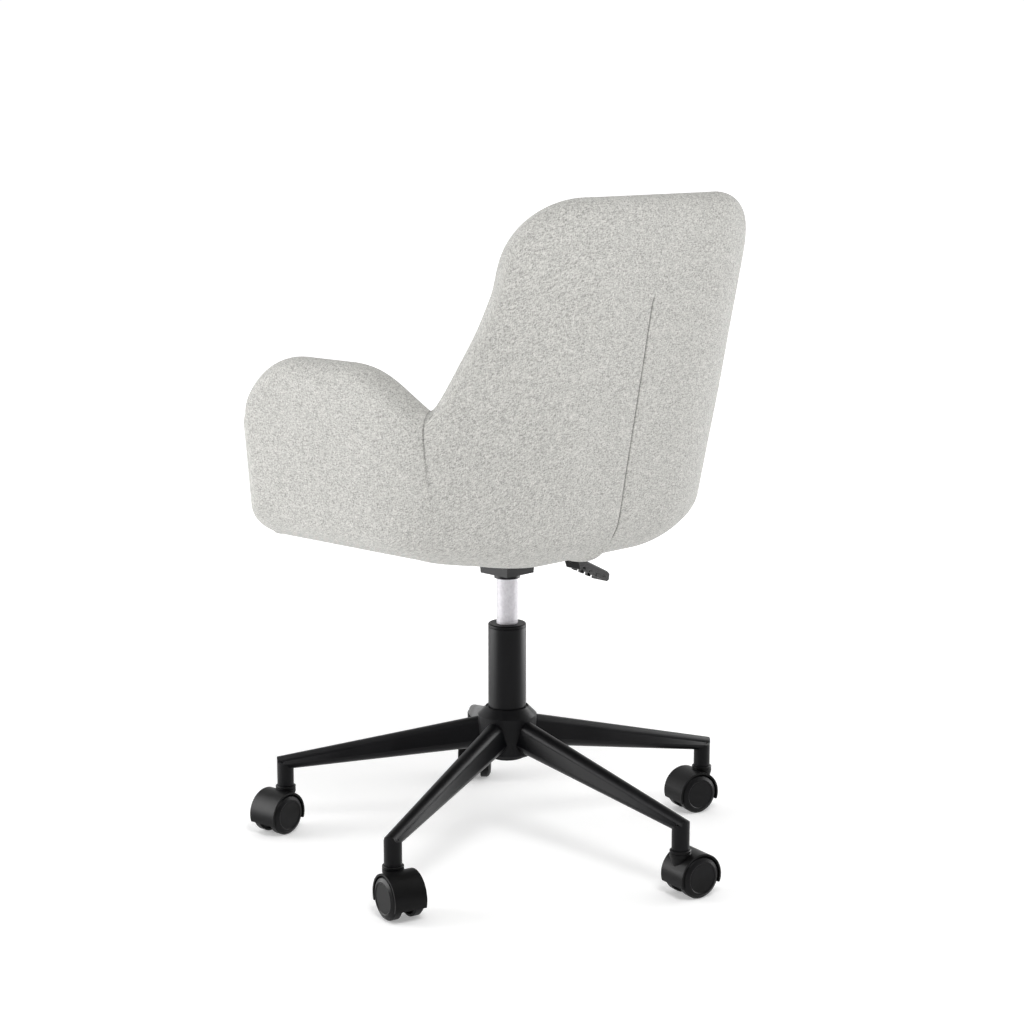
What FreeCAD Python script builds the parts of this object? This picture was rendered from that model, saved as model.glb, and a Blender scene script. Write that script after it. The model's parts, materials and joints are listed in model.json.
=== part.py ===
import FreeCAD, Part
import Sketcher
import math
import os
from FreeCAD import Placement, Rotation, Vector

# Swivel office chair: a padded tub seat on a gas column with a five-legged base on twin-wheel casters.
# Frame: millimetres, +Z up, the origin on the floor under the column, the sitter faces -Y.

doc = FreeCAD.newDocument("SwivelOfficeChair")
sheet = doc.addObject("Spreadsheet::Sheet", "Dimensions")

DIMENSIONS = [
    # five-legged base
    ("leg_circle", 303.7, "radius of the circle of caster stems"),
    ("first_leg_angle", 18, "angle of the first leg from +X"),
    ("hub_low", 122, "underside of the hub"),
    ("hub_high", 175, "height where the hub is widest"),
    ("hub_top", 186, "top of the hub's cone"),
    ("hub_low_radius", 36.5, "hub radius at its underside"),
    ("hub_radius", 39, "hub radius where it is widest"),
    ("sleeve_radius", 28, "outside of the sleeve inside the hub"),
    ("leg_root_high", 173.6, "top of a leg at its root"),
    ("leg_root_low", 129.4, "underside of a leg at its root"),
    ("leg_end_high", 103, "top of a leg over the caster stem"),
    ("leg_end_low", 83.5, "underside of a leg over the caster stem"),
    ("leg_root_width", 34, "leg width at its root"),
    ("leg_end_width", 22, "leg width at its end"),
    ("leg_root_reach", 24, "radius where a leg's taper starts, inside the hub wall"),
    ("leg_wall", 2, "steel wall of a leg"),
    ("leg_foot_radius", 11.2, "outside of the upright tube at a leg's end"),
    ("leg_foot_low", 62, "lower edge of the upright tube"),
    # casters
    ("wheel_radius", 27, "caster wheel radius"),
    ("caster_trail", 17, "horizontal distance from stem to axle"),
    ("wheel_inner_side", 8, "inner side of a wheel from the caster's middle"),
    ("wheel_outer_side", 23.5, "outer side of a wheel from the caster's middle"),
    ("wheel_face_radius", 21, "flat outer face of a wheel"),
    ("axle_radius", 3, "caster axle radius"),
    ("running_fit", 0.05, "radial play of a turning fit"),
    ("hood_radius", 30.5, "outside of the caster hood"),
    ("hood_inside", 28, "inside of the caster hood"),
    ("hood_half_width", 21.5, "half the width of the caster hood"),
    ("hood_low", 17, "lower edge of the caster hood"),
    ("boss_radius", 13.5, "collar around the caster stem"),
    ("stem_radius", 5.5, "caster stem radius"),
    ("stem_low", 40, "lower end of the caster stem"),
    ("stem_high", 95, "upper end of the caster stem"),
    # column
    ("column_radius", 25, "outside of the column tube"),
    ("column_foot_radius", 24.25, "outside of the column tube at its foot"),
    ("column_low", 115.5, "lower end of the column tube"),
    ("column_high", 293.5, "upper end of the column tube"),
    ("column_wall", 2, "wall of the column tube"),
    ("bush_low", 230, "lower end of the guide bush"),
    ("bush_high", 298, "top of the guide bush's flange"),
    ("gas_tube_radius", 14, "outside of the gas spring's tube"),
    ("gas_tube_wall", 2, "wall of the gas spring's tube"),
    ("gas_tube_low", 190, "lower end of the gas spring's tube"),
    ("gas_tube_high", 386, "upper end of the gas spring's tube"),
    ("taper_start", 350, "height where the gas spring's taper starts"),
    ("taper_end_radius", 13.35, "gas spring radius at its upper end"),
    ("rod_radius", 5, "piston rod radius"),
    ("rod_neck_radius", 4, "piston rod neck through the column's foot"),
    ("rod_top", 252, "upper end of the piston rod's full width"),
    ("race_radius", 12, "outside of the thrust bearing"),
    ("ball_radius", 2, "thrust bearing ball radius"),
    ("ball_circle", 8.5, "radius of the circle of balls"),
    ("ball_height", 122.5, "height of the ball centres"),
    # seat mechanism
    ("plate_low", 404, "underside of the seat plate"),
    ("plate_thickness", 3, "thickness of the seat plate"),
    ("plate_side", 150, "side of the seat plate"),
    ("bolt_spacing", 110, "distance between the seat plate's bolts"),
    ("bolt_radius", 3, "seat bolt radius"),
    ("housing_low", 365, "underside of the mechanism housing"),
    ("housing_low_width", 49, "housing width at its underside"),
    ("housing_high_width", 54, "housing width at the seat plate"),
    ("housing_wall", 3, "wall of the mechanism housing"),
    ("socket_radius", 17, "outside of the taper socket"),
    ("socket_low", 359, "lower end of the taper socket"),
    ("lever_pivot_reach", 20, "distance of the lever's pivot from the column's axis"),
    ("lever_height", 396, "height of the lever's pivot"),
    ("lever_rod_radius", 4, "lever rod radius"),
    ("lever_elbow_reach", 98, "distance of the lever's elbow from the column's axis"),
    ("lever_elbow_drop", 4, "drop of the lever from its pivot to its elbow"),
    ("lever_knee_reach", 122, "distance of the lever's knee from the column's axis"),
    ("lever_knee_drop", 32, "drop of the lever to its knee"),
    ("lever_end_reach", 174, "distance of the lever rod's end from the column's axis"),
    ("lever_end_drop", 60, "drop of the lever to its end"),
    ("lever_bend", 14, "bend radius of the lever rod"),
    ("grip_width", 26, "width of the lever's grip"),
    ("grip_drop", 31, "drop from the lever's pivot to the top of the grip"),
    ("grip_reach", 184, "distance of the grip's tip from the column's axis"),
    ("grip_fall", 28, "fall of the grip from its root to its tip"),
    ("grip_thickness", 15, "thickness of the grip"),
    ("grip_tooth", 5.5, "depth of the notches along the grip's lower edges"),
    ("grip_inner_width", 17, "width of the hollow under the grip"),
    ("grip_ceiling", 10.5, "drop from the grip's top to the roof of its hollow at the root"),
    # tub seat
    ("shell_half_width", 279.6, "half the width across the arms at the back of the arms"),
    ("back_flat", 80.4, "half the flat middle of the back"),
    ("back_depth", 224.7, "distance of the back's outside behind the column's axis"),
    ("lean_height", 600, "height where the shell's plan is measured"),
    ("back_lean", 0.188, "rearward lean of the back, per height"),
    ("side_tuck_in", 18.5, "how far the sides come in at the bottom"),
    ("side_flare", 32, "how far the sides flare at the top of the back"),
    ("corner_tuck", 6.5, "how much further the back corners come in at the bottom"),
    ("arm_splay", 2.7, "angle by which the arms open to the front, in degrees"),
    ("arm_front", 197.6, "distance of the arm fronts before the column's axis"),
    ("back_top", 862.4, "top of the back"),
    ("back_top_half", 210, "half the length of the back's top edge, along the shell"),
    ("back_corner", 98, "corner height of the back's top edge"),
    ("edge_end", 356.8, "distance along the shell where the back's side edge runs out"),
    ("edge_low", 575, "height at which the back's side edge would run out"),
    ("edge_power", 2.12, "how quickly the back's side edge levels out"),
    ("arm_top", 663, "top of the arms"),
    ("arm_dip", 0.0039, "dip of the arms towards the back"),
    ("valley_blend", 6, "softness of the dip between arm and back"),
    ("shell_low", 404.5, "underside of the shell"),
    ("bowl_height", 60, "height over which the shell curves in to its underside"),
    ("side_bowl", 168, "how far the sides curve in to the underside"),
    ("back_bowl", 66.5, "how far the back curves in to the underside"),
    ("arm_nose_high", 115.5, "upper corner radius of an arm's front"),
    ("arm_nose_low", 21.5, "lower corner radius of an arm's front"),
    ("pad_thickness", 54, "thickness of the padded wall"),
    ("outer_foam", 10, "padding outside the plywood"),
    ("ply_thickness", 10, "moulded plywood thickness"),
    ("ply_drop", 24, "distance of the plywood's edge below the padded edge"),
    ("cushion_top", 507, "top of the seat cushion"),
    ("cushion_front", 226, "front of the seat cushion before the column's axis"),
]

for line, (alias, size, meaning) in enumerate(DIMENSIONS, start=1):
    sheet.set(f"A{line}", meaning)
    sheet.set(f"B{line}", str(size))
    sheet.setAlias(f"B{line}", alias)
doc.recompute()


class Size(float):
    """A length that remembers the spreadsheet expression it was worked out from."""

    def __new__(cls, number, text):
        size = super().__new__(cls, number)
        size.text = text
        return size

    def __add__(self, other):
        return Size(float(self) + float(other), f"({self.text} + {words(other)})")

    def __sub__(self, other):
        return Size(float(self) - float(other), f"({self.text} - {words(other)})")

    def __mul__(self, other):
        return Size(float(self) * float(other), f"({self.text} * {words(other)})")

    def __truediv__(self, other):
        return Size(float(self) / float(other), f"({self.text} / {words(other)})")

    def __neg__(self):
        return Size(-float(self), f"(0 - {self.text})")


def words(number):
    """The expression text of a Size or a plain number."""
    return number.text if isinstance(number, Size) else repr(float(number))


def dim(alias):
    return Size(getattr(sheet, alias), f"Dimensions.{alias}")


def bind(item, **sizes):
    """Bind properties of an object to their sizes; x, y and z are its place."""
    for name, size in sizes.items():
        path = f"Placement.Base.{name}" if name in "xyz" else name
        item.setExpression(path, words(size))
    return item


def around(radius, angle):
    """The x and y of a point at a radius and an angle in degrees."""
    cos_text = f"({words(radius)} * cos({angle} deg))"
    sin_text = f"({words(radius)} * sin({angle} deg))"
    turn = math.radians(angle)
    return Size(radius * math.cos(turn), cos_text), Size(radius * math.sin(turn), sin_text)


sub_parts = []


def keep(item, label):
    """Register an object as a sub-part under its node name."""
    item.Label = label
    sub_parts.append(item)
    return item


# ---------------------------------------------------------------- drawing helpers

def pin_coordinate(sketch, vertex, kind, axis, size):
    """Fix one coordinate of a sketch corner to a size, or to the axis where it is zero."""
    if abs(size) < 1e-9:
        sketch.addConstraint(Sketcher.Constraint("PointOnObject", vertex, 1, axis))
        return
    number = sketch.addConstraint(Sketcher.Constraint(kind, -1, 1, vertex, 1, float(size)))
    if isinstance(size, Size):
        sketch.setExpression(f"Constraints[{number}]", size.text)


def new_body(name, plane, corners):
    """A PartDesign body with one closed sketch of straight edges on an origin plane."""
    body = doc.addObject("PartDesign::Body", name)
    sketch = body.newObject("Sketcher::SketchObject", f"{name}_outline")
    face = next(item for item in body.Origin.OriginFeatures if item.Role == plane)
    sketch.AttachmentSupport = [(face, "")]
    sketch.MapMode = "FlatFace"
    spots = [Vector(float(across), float(up), 0) for across, up in corners]
    count = len(spots)
    for index, spot in enumerate(spots):
        sketch.addGeometry(Part.LineSegment(spot, spots[(index + 1) % count]), False)
    for index in range(count):
        sketch.addConstraint(Sketcher.Constraint("Coincident", index, 2, (index + 1) % count, 1))
    for index, (across, up) in enumerate(corners):
        pin_coordinate(sketch, index, "DistanceX", -2, across)
        pin_coordinate(sketch, index, "DistanceY", -1, up)
    return body, sketch


def turned(name, profile):
    """A lathe piece: a profile of (radius, height) corners turned round the Z axis."""
    body, sketch = new_body(name, "XZ_Plane", profile)
    turn = body.newObject("PartDesign::Revolution", f"{name}_turn")
    turn.Profile = sketch
    turn.ReferenceAxis = (sketch, ["V_Axis"])
    turn.Angle = 360
    return body


def padded_outline(name, plane, corners, length, both_ways):
    """A prism: a closed outline padded by a length, to one side or half to each."""
    body, sketch = new_body(name, plane, corners)
    pad = body.newObject("PartDesign::Pad", f"{name}_pad")
    pad.Profile = sketch
    bind(pad, Length=length)
    if both_ways:
        pad.SideType = "Symmetric"
    return body, pad


def cylinder(name, radius, low, high, x=0, y=0):
    item = doc.addObject("Part::Cylinder", name)
    return bind(item, Radius=radius, Height=high - low, x=x, y=y, z=low)


def block(name, lows, sizes):
    item = doc.addObject("Part::Box", name)
    bind(item, Length=sizes[0], Width=sizes[1], Height=sizes[2])
    return bind(item, x=lows[0], y=lows[1], z=lows[2])


def fused(name, items):
    item = doc.addObject("Part::MultiFuse", name)
    item.Shapes = items
    return item


def cut(name, base, tool):
    item = doc.addObject("Part::Cut", name)
    item.Base = base
    item.Tool = tool
    return item


def group(name, items):
    """Identical small pieces kept together as separate solids in one node."""
    item = doc.addObject("Part::Compound", name)
    item.Links = items
    return item


def shaped(name, shape):
    """A piece whose shape is built directly from the spreadsheet's sizes."""
    item = doc.addObject("Part::Feature", name)
    item.Shape = shape
    return item


LEG_COUNT = 5
leg_angles = [dim("first_leg_angle") + 360 / LEG_COUNT * number for number in range(LEG_COUNT)]


# ---------------------------------------------------------------- base

def foot_taper(height):
    """Outside radius of the column's tapered foot at a height, which is also the hub's bore."""
    share = (height - dim("column_low")) / (dim("hub_top") - 2 - dim("column_low"))
    return dim("column_foot_radius") + (dim("column_radius") - dim("column_foot_radius")) * share


def make_hub():
    low, high, top = dim("hub_low"), dim("hub_high"), dim("hub_top")
    wide, narrow, sleeve = dim("hub_radius"), dim("hub_low_radius"), dim("sleeve_radius")
    shell = [(sleeve, low), (narrow - 2, low), (narrow, low + 3), (wide, high), (sleeve, top)]
    shell += [(sleeve, top - 4), (wide - 3, high - 1), (narrow - 3, low + 4), (sleeve, low + 3)]
    keep(turned("hub_shell", shell), "hub_shell")
    bore_top = top - 2
    bore = [(foot_taper(low), low), (sleeve, low), (sleeve, bore_top), (foot_taper(bore_top), bore_top)]
    keep(turned("hub_sleeve", bore), "hub_sleeve")


def leg_taper(inset, far):
    """The sloping tapered tube of one leg, drawn inwards by an inset, as a solid along +X."""
    near, circle = dim("leg_root_reach"), dim("leg_circle")
    share = (far - near) / (circle - near)
    sections = []
    for reach, step in ((near, 0.0), (far, share)):
        high = dim("leg_root_high") + (dim("leg_end_high") - dim("leg_root_high")) * step
        low = dim("leg_root_low") + (dim("leg_end_low") - dim("leg_root_low")) * step
        wide = dim("leg_root_width") + (dim("leg_end_width") - dim("leg_root_width")) * step
        sections.append(tube_section(reach, low + inset, high - inset, wide - 2 * inset))
    return Part.makeLoft(sections, True, True)


def tube_section(reach, low, high, width):
    """A narrow-topped section: a half-round foot, straight flanks and a tighter round top."""
    half, crown = width / 2, width * 0.36
    foot_middle, crown_middle = low + half * 0.8, high - crown * 0.9
    spot = lambda across, up: Vector(reach, across, up)
    foot = Part.Arc(spot(-half, foot_middle), spot(0, low), spot(half, foot_middle)).toShape()
    left = Part.LineSegment(spot(half, foot_middle), spot(crown, crown_middle)).toShape()
    top = Part.Arc(spot(crown, crown_middle), spot(0, high), spot(-crown, crown_middle)).toShape()
    right = Part.LineSegment(spot(-crown, crown_middle), spot(-half, foot_middle)).toShape()
    return Part.Wire([foot, left, top, right])


def leg_shape():
    """One hollow steel leg along +X: a tapered tube mitred onto an upright tube at its end."""
    circle, foot, wall = dim("leg_circle"), dim("leg_foot_radius"), dim("leg_wall")
    past = circle + foot + 4
    outer, inner = leg_taper(0, past), leg_taper(wall, circle)
    low, tall = dim("leg_foot_low"), dim("leg_end_high") - dim("leg_foot_low")
    upright = Part.makeCylinder(foot, tall, Vector(circle, 0, low))
    bore = Part.makeCylinder(foot - wall, tall - 8, Vector(circle, 0, low))
    keep_to = Part.makeBox(circle, 80, 200, Vector(0, -40, 0))
    capped = upright.common(outer.fuse(Part.makeBox(60, 60, 30, Vector(circle - 30, -30, low))))
    solid = outer.common(keep_to).fuse(capped).fuse(outer.common(upright))
    hub = Part.makeCone(dim("hub_low_radius"), dim("hub_radius"), dim("hub_high") - dim("hub_low") - 3,
                        Vector(0, 0, dim("hub_low") + 3))
    return solid.cut(inner).cut(bore).cut(hub).removeSplitter()


def make_legs():
    shape = leg_shape()
    for number, angle in enumerate(leg_angles, start=1):
        leg = shaped(f"leg_{number}", shape)
        leg.Placement = Placement(Vector(0, 0, 0), Rotation(Vector(0, 0, 1), float(angle)))
        keep(leg, f"leg_{number}")


def at_each_stem(name, profile):
    """The same turned piece at each of the five caster stems, as one node."""
    copies = []
    for number, angle in enumerate(leg_angles, start=1):
        copy = turned(f"{name}_{number}", profile)
        x, y = around(dim("leg_circle"), float(angle))
        copies.append(bind(copy, x=x, y=y))
    return keep(group(name, copies), name)


def make_stem_pieces():
    """The plugs pressed into the leg ends and the caster stems held in them."""
    bore, stem = dim("leg_foot_radius") - dim("leg_wall"), dim("stem_radius")
    low, top, stem_foot = dim("leg_foot_low"), dim("stem_high"), dim("stem_low")
    plug_top = low + 30
    at_each_stem("stem_sockets", [(stem, low), (bore, low), (bore, plug_top), (stem, plug_top)])
    neck = stem - 1
    pin = [(0, stem_foot), (neck, stem_foot), (stem, stem_foot + 1), (stem, plug_top + 1)]
    pin += [(neck, plug_top + 1.5), (neck - 1, top), (0, top)]
    at_each_stem("caster_stems", pin)


def make_column():
    wall = dim("column_wall")
    low, high, radius = dim("column_low"), dim("column_high"), dim("column_radius")
    taper_top, hole, rounded = dim("hub_top") - 2, dim("rod_neck_radius") + 0.8, 4
    foot = foot_taper(low + rounded)
    tube = [(hole, low), (foot - rounded, low), (foot - 1.2, low + 1.2), (foot, low + rounded)]
    tube += [(radius, taper_top), (radius, high - 0.5), (radius - 0.5, high), (radius - wall, high)]
    tube += [(radius - wall, taper_top), (foot - rounded, low + 3), (hole, low + 3)]
    keep(turned("column_tube", tube), "column_tube")
    bore = dim("gas_tube_radius") + dim("running_fit")
    bush_low, bush_high = dim("bush_low"), dim("bush_high")
    bush = [(bore, bush_low), (radius - wall, bush_low), (radius - wall, high), (radius - 0.6, high)]
    bush += [(radius, high + 0.6), (radius, bush_high - 1.2), (radius - 1.2, bush_high), (bore, bush_high)]
    keep(turned("guide_bush", bush), "guide_bush")


def make_thrust_bearing():
    ball, middle, outside = dim("ball_radius"), dim("ball_height"), dim("race_radius")
    neck, low = dim("rod_neck_radius"), dim("column_low")
    gap = 0.3
    lower = [(neck + 1, low + 3), (outside, low + 3), (outside, middle - ball - gap)]
    keep(turned("lower_race", lower + [(neck + 1, middle - ball - gap)]), "lower_race")
    upper = [(neck, middle + ball + gap), (outside, middle + ball + gap), (outside, middle + 4)]
    keep(turned("upper_race", upper + [(neck, middle + 4)]), "upper_race")
    balls, hollows = [], []
    ball_count = 8
    for number in range(ball_count):
        x, y = around(dim("ball_circle"), 360 / ball_count * number)
        for name, rolls in (("ball", balls), ("ball_pocket", hollows)):
            item = doc.addObject("Part::Sphere", f"{name}_{number + 1}")
            rolls.append(bind(item, Radius=ball, x=x, y=y, z=middle))
    keep(group("bearing_balls", balls), "bearing_balls")
    ring = [(neck + 1, middle - 0.8), (outside - 0.5, middle - 0.8), (outside - 0.5, middle + 0.8)]
    ring_body = turned("cage_ring", ring + [(neck + 1, middle + 0.8)])
    keep(cut("ball_cage", ring_body, group("ball_pockets", hollows)), "ball_cage")


def make_piston_rod():
    rod, neck, top = dim("rod_radius"), dim("rod_neck_radius"), dim("rod_top")
    low = dim("column_low")
    shoulder = dim("ball_height") + 4
    clip_low, clip_high, groove = low - 2, low - 0.8, neck - 0.8
    piston_bore, piston_top = rod - 1.5, top + 10
    profile = [(0, low - 4), (neck - 0.5, low - 4), (neck, low - 3.5), (neck, clip_low), (groove, clip_low)]
    profile += [(groove, clip_high), (neck, clip_high), (neck, shoulder), (rod, shoulder), (rod, top)]
    profile += [(piston_bore, top), (piston_bore, piston_top + 2), (0, piston_top + 2)]
    keep(turned("piston_rod", profile), "piston_rod")
    inside = dim("gas_tube_radius") - dim("gas_tube_wall") - dim("running_fit")
    piston = [(piston_bore, top), (inside, top), (inside, top + 4), (inside - 1, top + 4)]
    piston += [(inside - 1, top + 6), (inside, top + 6), (inside, piston_top), (piston_bore, piston_top)]
    keep(turned("piston", piston), "piston")
    ring = turned("clip_ring", [(groove, clip_low), (neck + 4, clip_low), (neck + 4, clip_high),
                                (groove, clip_high)])
    slot = block("clip_slot", (0, -neck / 2, clip_low - 1), (neck * 3, neck, neck))
    keep(cut("retaining_clip", ring, slot), "retaining_clip")
    stop_width, stop_top, bevel = rod + 6, shoulder + 6.5, 2
    stop = [(rod, shoulder), (stop_width, shoulder), (stop_width, stop_top - bevel)]
    stop += [(stop_width - bevel, stop_top), (rod, stop_top)]
    keep(turned("bump_stop", stop), "bump_stop")


# ---------------------------------------------------------------- gas spring and mechanism

def taper_radius(height):
    """Radius of the gas spring's tapered end at a height."""
    start, end = dim("taper_start"), dim("gas_tube_high")
    share = (height - start) / (end - start)
    return dim("gas_tube_radius") + (dim("taper_end_radius") - dim("gas_tube_radius")) * share


def make_gas_spring():
    radius, wall, fit = dim("gas_tube_radius"), dim("gas_tube_wall"), dim("running_fit")
    low, high, start = dim("gas_tube_low"), dim("gas_tube_high"), dim("taper_start")
    pin = dim("rod_neck_radius")
    pin_well = high - 20
    tube = [(radius - wall, low), (radius, low), (radius, start), (dim("taper_end_radius"), high)]
    tube += [(pin + fit, high), (pin + fit, pin_well), (0, pin_well), (0, start), (radius - wall, start)]
    keep(turned("pressure_tube", tube), "pressure_tube")
    rod = dim("rod_radius") + fit
    guide = [(rod, low), (radius - wall, low), (radius - wall, low + 14), (rod, low + 14)]
    keep(turned("rod_guide", guide), "rod_guide")
    pin_top = dim("lever_height") - dim("lever_rod_radius") - 0.3
    valve = [(0, pin_well + 6), (pin, pin_well + 6), (pin, pin_top - 1), (pin - 1, pin_top), (0, pin_top)]
    keep(turned("valve_pin", valve), "valve_pin")


def wedge(name, low_width, high_width, low, high):
    """A square block that widens upwards, centred on the column's axis."""
    item = doc.addObject("Part::Wedge", name)
    item.Placement = Placement(Vector(0, 0, 0), Rotation(Vector(1, 0, 0), 90))
    bind(item, Xmin=-low_width / 2, Xmax=low_width / 2, Zmin=-low_width / 2, Zmax=low_width / 2)
    bind(item, X2min=-high_width / 2, X2max=high_width / 2, Z2min=-high_width / 2, Z2max=high_width / 2)
    bind(item, Ymin=0, Ymax=high - low, z=low)
    return item


def make_mechanism():
    low, plate, wall = dim("housing_low"), dim("plate_low"), dim("housing_wall")
    narrow, wide, socket = dim("housing_low_width"), dim("housing_high_width"), dim("socket_radius")
    outer = wedge("housing_block", narrow, wide, low, plate)
    inner = wedge("housing_hollow", narrow - wall, wide - wall * 2, low + wall, plate + 1)
    well = cylinder("housing_socket_hole", socket, low - 1, low + wall + 1)
    rod = dim("lever_rod_radius") + 1.5
    slot_low = (-wide, -rod, dim("lever_height") - rod - 2)
    exit_slot = block("lever_slot", slot_low, (wide, rod * 2, rod * 3))
    pivot = doc.addObject("Part::Cylinder", "pivot_hole")
    pivot.Placement = Placement(Vector(0, 0, 0), Rotation(Vector(1, 0, 0), -90))
    pin_radius, reach = dim("lever_rod_radius") / 2, dim("lever_pivot_reach")
    bind(pivot, Radius=pin_radius, Height=wide, x=-reach, y=-wide / 2, z=dim("lever_height"))
    tools = fused("housing_tools", [inner, well, exit_slot, pivot])
    keep(cut("mechanism_housing", outer, tools), "mechanism_housing")
    pin = doc.addObject("Part::Cylinder", "lever_pivot_pin")
    pin.Placement = Placement(Vector(0, 0, 0), Rotation(Vector(1, 0, 0), -90))
    length = wide - wall
    bind(pin, Radius=pin_radius, Height=length, x=-reach, y=-length / 2, z=dim("lever_height"))
    keep(pin, "lever_pivot_pin")
    foot, top = dim("socket_low"), dim("gas_tube_high") - 1
    collar = [(taper_radius(foot), foot), (socket, foot), (socket, top), (taper_radius(top), top)]
    keep(turned("taper_socket", collar), "taper_socket")


def bolt_spots():
    half = dim("bolt_spacing") / 2
    return [(half, half), (-half, half), (-half, -half), (half, -half)]


def make_seat_plate():
    low, side, thick = dim("plate_low"), dim("plate_side"), dim("plate_thickness")
    half = side / 2
    square = [(-half, -half), (half, -half), (half, half), (-half, half)]
    body, pad = padded_outline("seat_plate", "XY_Plane", square, thick, False)
    bind(body, z=low)
    holes = body.newObject("Sketcher::SketchObject", "plate_holes")
    face = next(item for item in body.Origin.OriginFeatures if item.Role == "XY_Plane")
    holes.AttachmentSupport = [(face, "")]
    holes.MapMode = "FlatFace"
    for number, (x, y) in enumerate(bolt_spots()):
        radius = dim("bolt_radius")
        holes.addGeometry(Part.Circle(Vector(x, y, 0), Vector(0, 0, 1), float(radius)), False)
        rows = [("DistanceX", x), ("DistanceY", y)]
        for kind, size in rows:
            row = holes.addConstraint(Sketcher.Constraint(kind, -1, 1, number, 3, float(size)))
            holes.setExpression(f"Constraints[{row}]", size.text)
        row = holes.addConstraint(Sketcher.Constraint("Radius", number, float(radius)))
        holes.setExpression(f"Constraints[{row}]", radius.text)
    pocket = body.newObject("PartDesign::Pocket", "plate_bolt_holes")
    pocket.Profile = holes
    pocket.Type = 1
    pocket.Reversed = True
    doc.recompute()
    corners = body.newObject("PartDesign::Fillet", "plate_corners")
    upright = [f"Edge{number}" for number, edge in enumerate(pocket.Shape.Edges, start=1)
               if isinstance(edge.Curve, Part.Line) and abs(edge.tangentAt(edge.FirstParameter).z) > 0.99]
    corners.Base = (pocket, upright)
    corners.Radius = 14
    keep(body, "seat_plate")


def make_seat_fasteners():
    plate, thick, radius = dim("plate_low"), dim("plate_thickness"), dim("bolt_radius")
    floor_low = dim("shell_low") + dim("outer_foam") + dim("ply_thickness")
    floor_top = floor_low + dim("ply_thickness")
    bolts, nuts, drills, spacer_drills = [], [], [], []
    for number, (x, y) in enumerate(bolt_spots(), start=1):
        head = doc.addObject("Part::Prism", f"bolt_head_{number}")
        head.Polygon = 6
        bind(head, Circumradius=radius * 1.9, Height=radius * 1.3, x=x, y=y, z=plate - radius * 1.3)
        shank = cylinder(f"bolt_shank_{number}", radius, plate, floor_top + 1, x, y)
        bolts.append(fused(f"bolt_{number}", [head, shank]))
        barrel = cylinder(f"nut_barrel_{number}", radius + 1.2, floor_top - 8, floor_top, x, y)
        flange = cylinder(f"nut_flange_{number}", radius * 3, floor_top, floor_top + 1.4, x, y)
        thread = cylinder(f"nut_thread_{number}", radius, floor_top - 9, floor_top + 3, x, y)
        nuts.append(cut(f"nut_{number}", fused(f"nut_blank_{number}", [barrel, flange]), thread))
        drills.append(cylinder(f"floor_drill_{number}", radius + 1.2, floor_top - 12, floor_top + 2, x, y))
        spacer_drills.append(cylinder(f"spacer_drill_{number}", radius, plate, floor_top, x, y))
    keep(group("seat_bolts", bolts), "seat_bolts")
    keep(group("tee_nuts", nuts), "tee_nuts")
    spacer_side, spacer_low = dim("plate_side") + 8, plate + thick
    half = spacer_side / 2
    size = (spacer_side, spacer_side, floor_low - spacer_low)
    board = block("spacer_blank", (-half, -half, spacer_low), size)
    keep(cut("spacer_board", board, group("spacer_drills", spacer_drills)), "spacer_board")
    return group("floor_drills", drills)


# ---------------------------------------------------------------- lever

def toothed_edge(start, end, teeth, depth):
    """Points from start to end along a straight edge with square notches cut up into it."""
    run_x, run_z = end[0] - start[0], end[1] - start[1]
    length = math.hypot(run_x, run_z)
    up_x, up_z = -run_z / length * depth, run_x / length * depth
    points = [start]
    for number in range(teeth):
        for share, raised in ((0.25, 0), (0.35, 1), (0.72, 1), (0.8, 0)):
            step = (number + share) / teeth
            x, z = start[0] + run_x * step, start[1] + run_z * step
            points.append((x + up_x * raised, z + up_z * raised))
    return points + [end]


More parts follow.
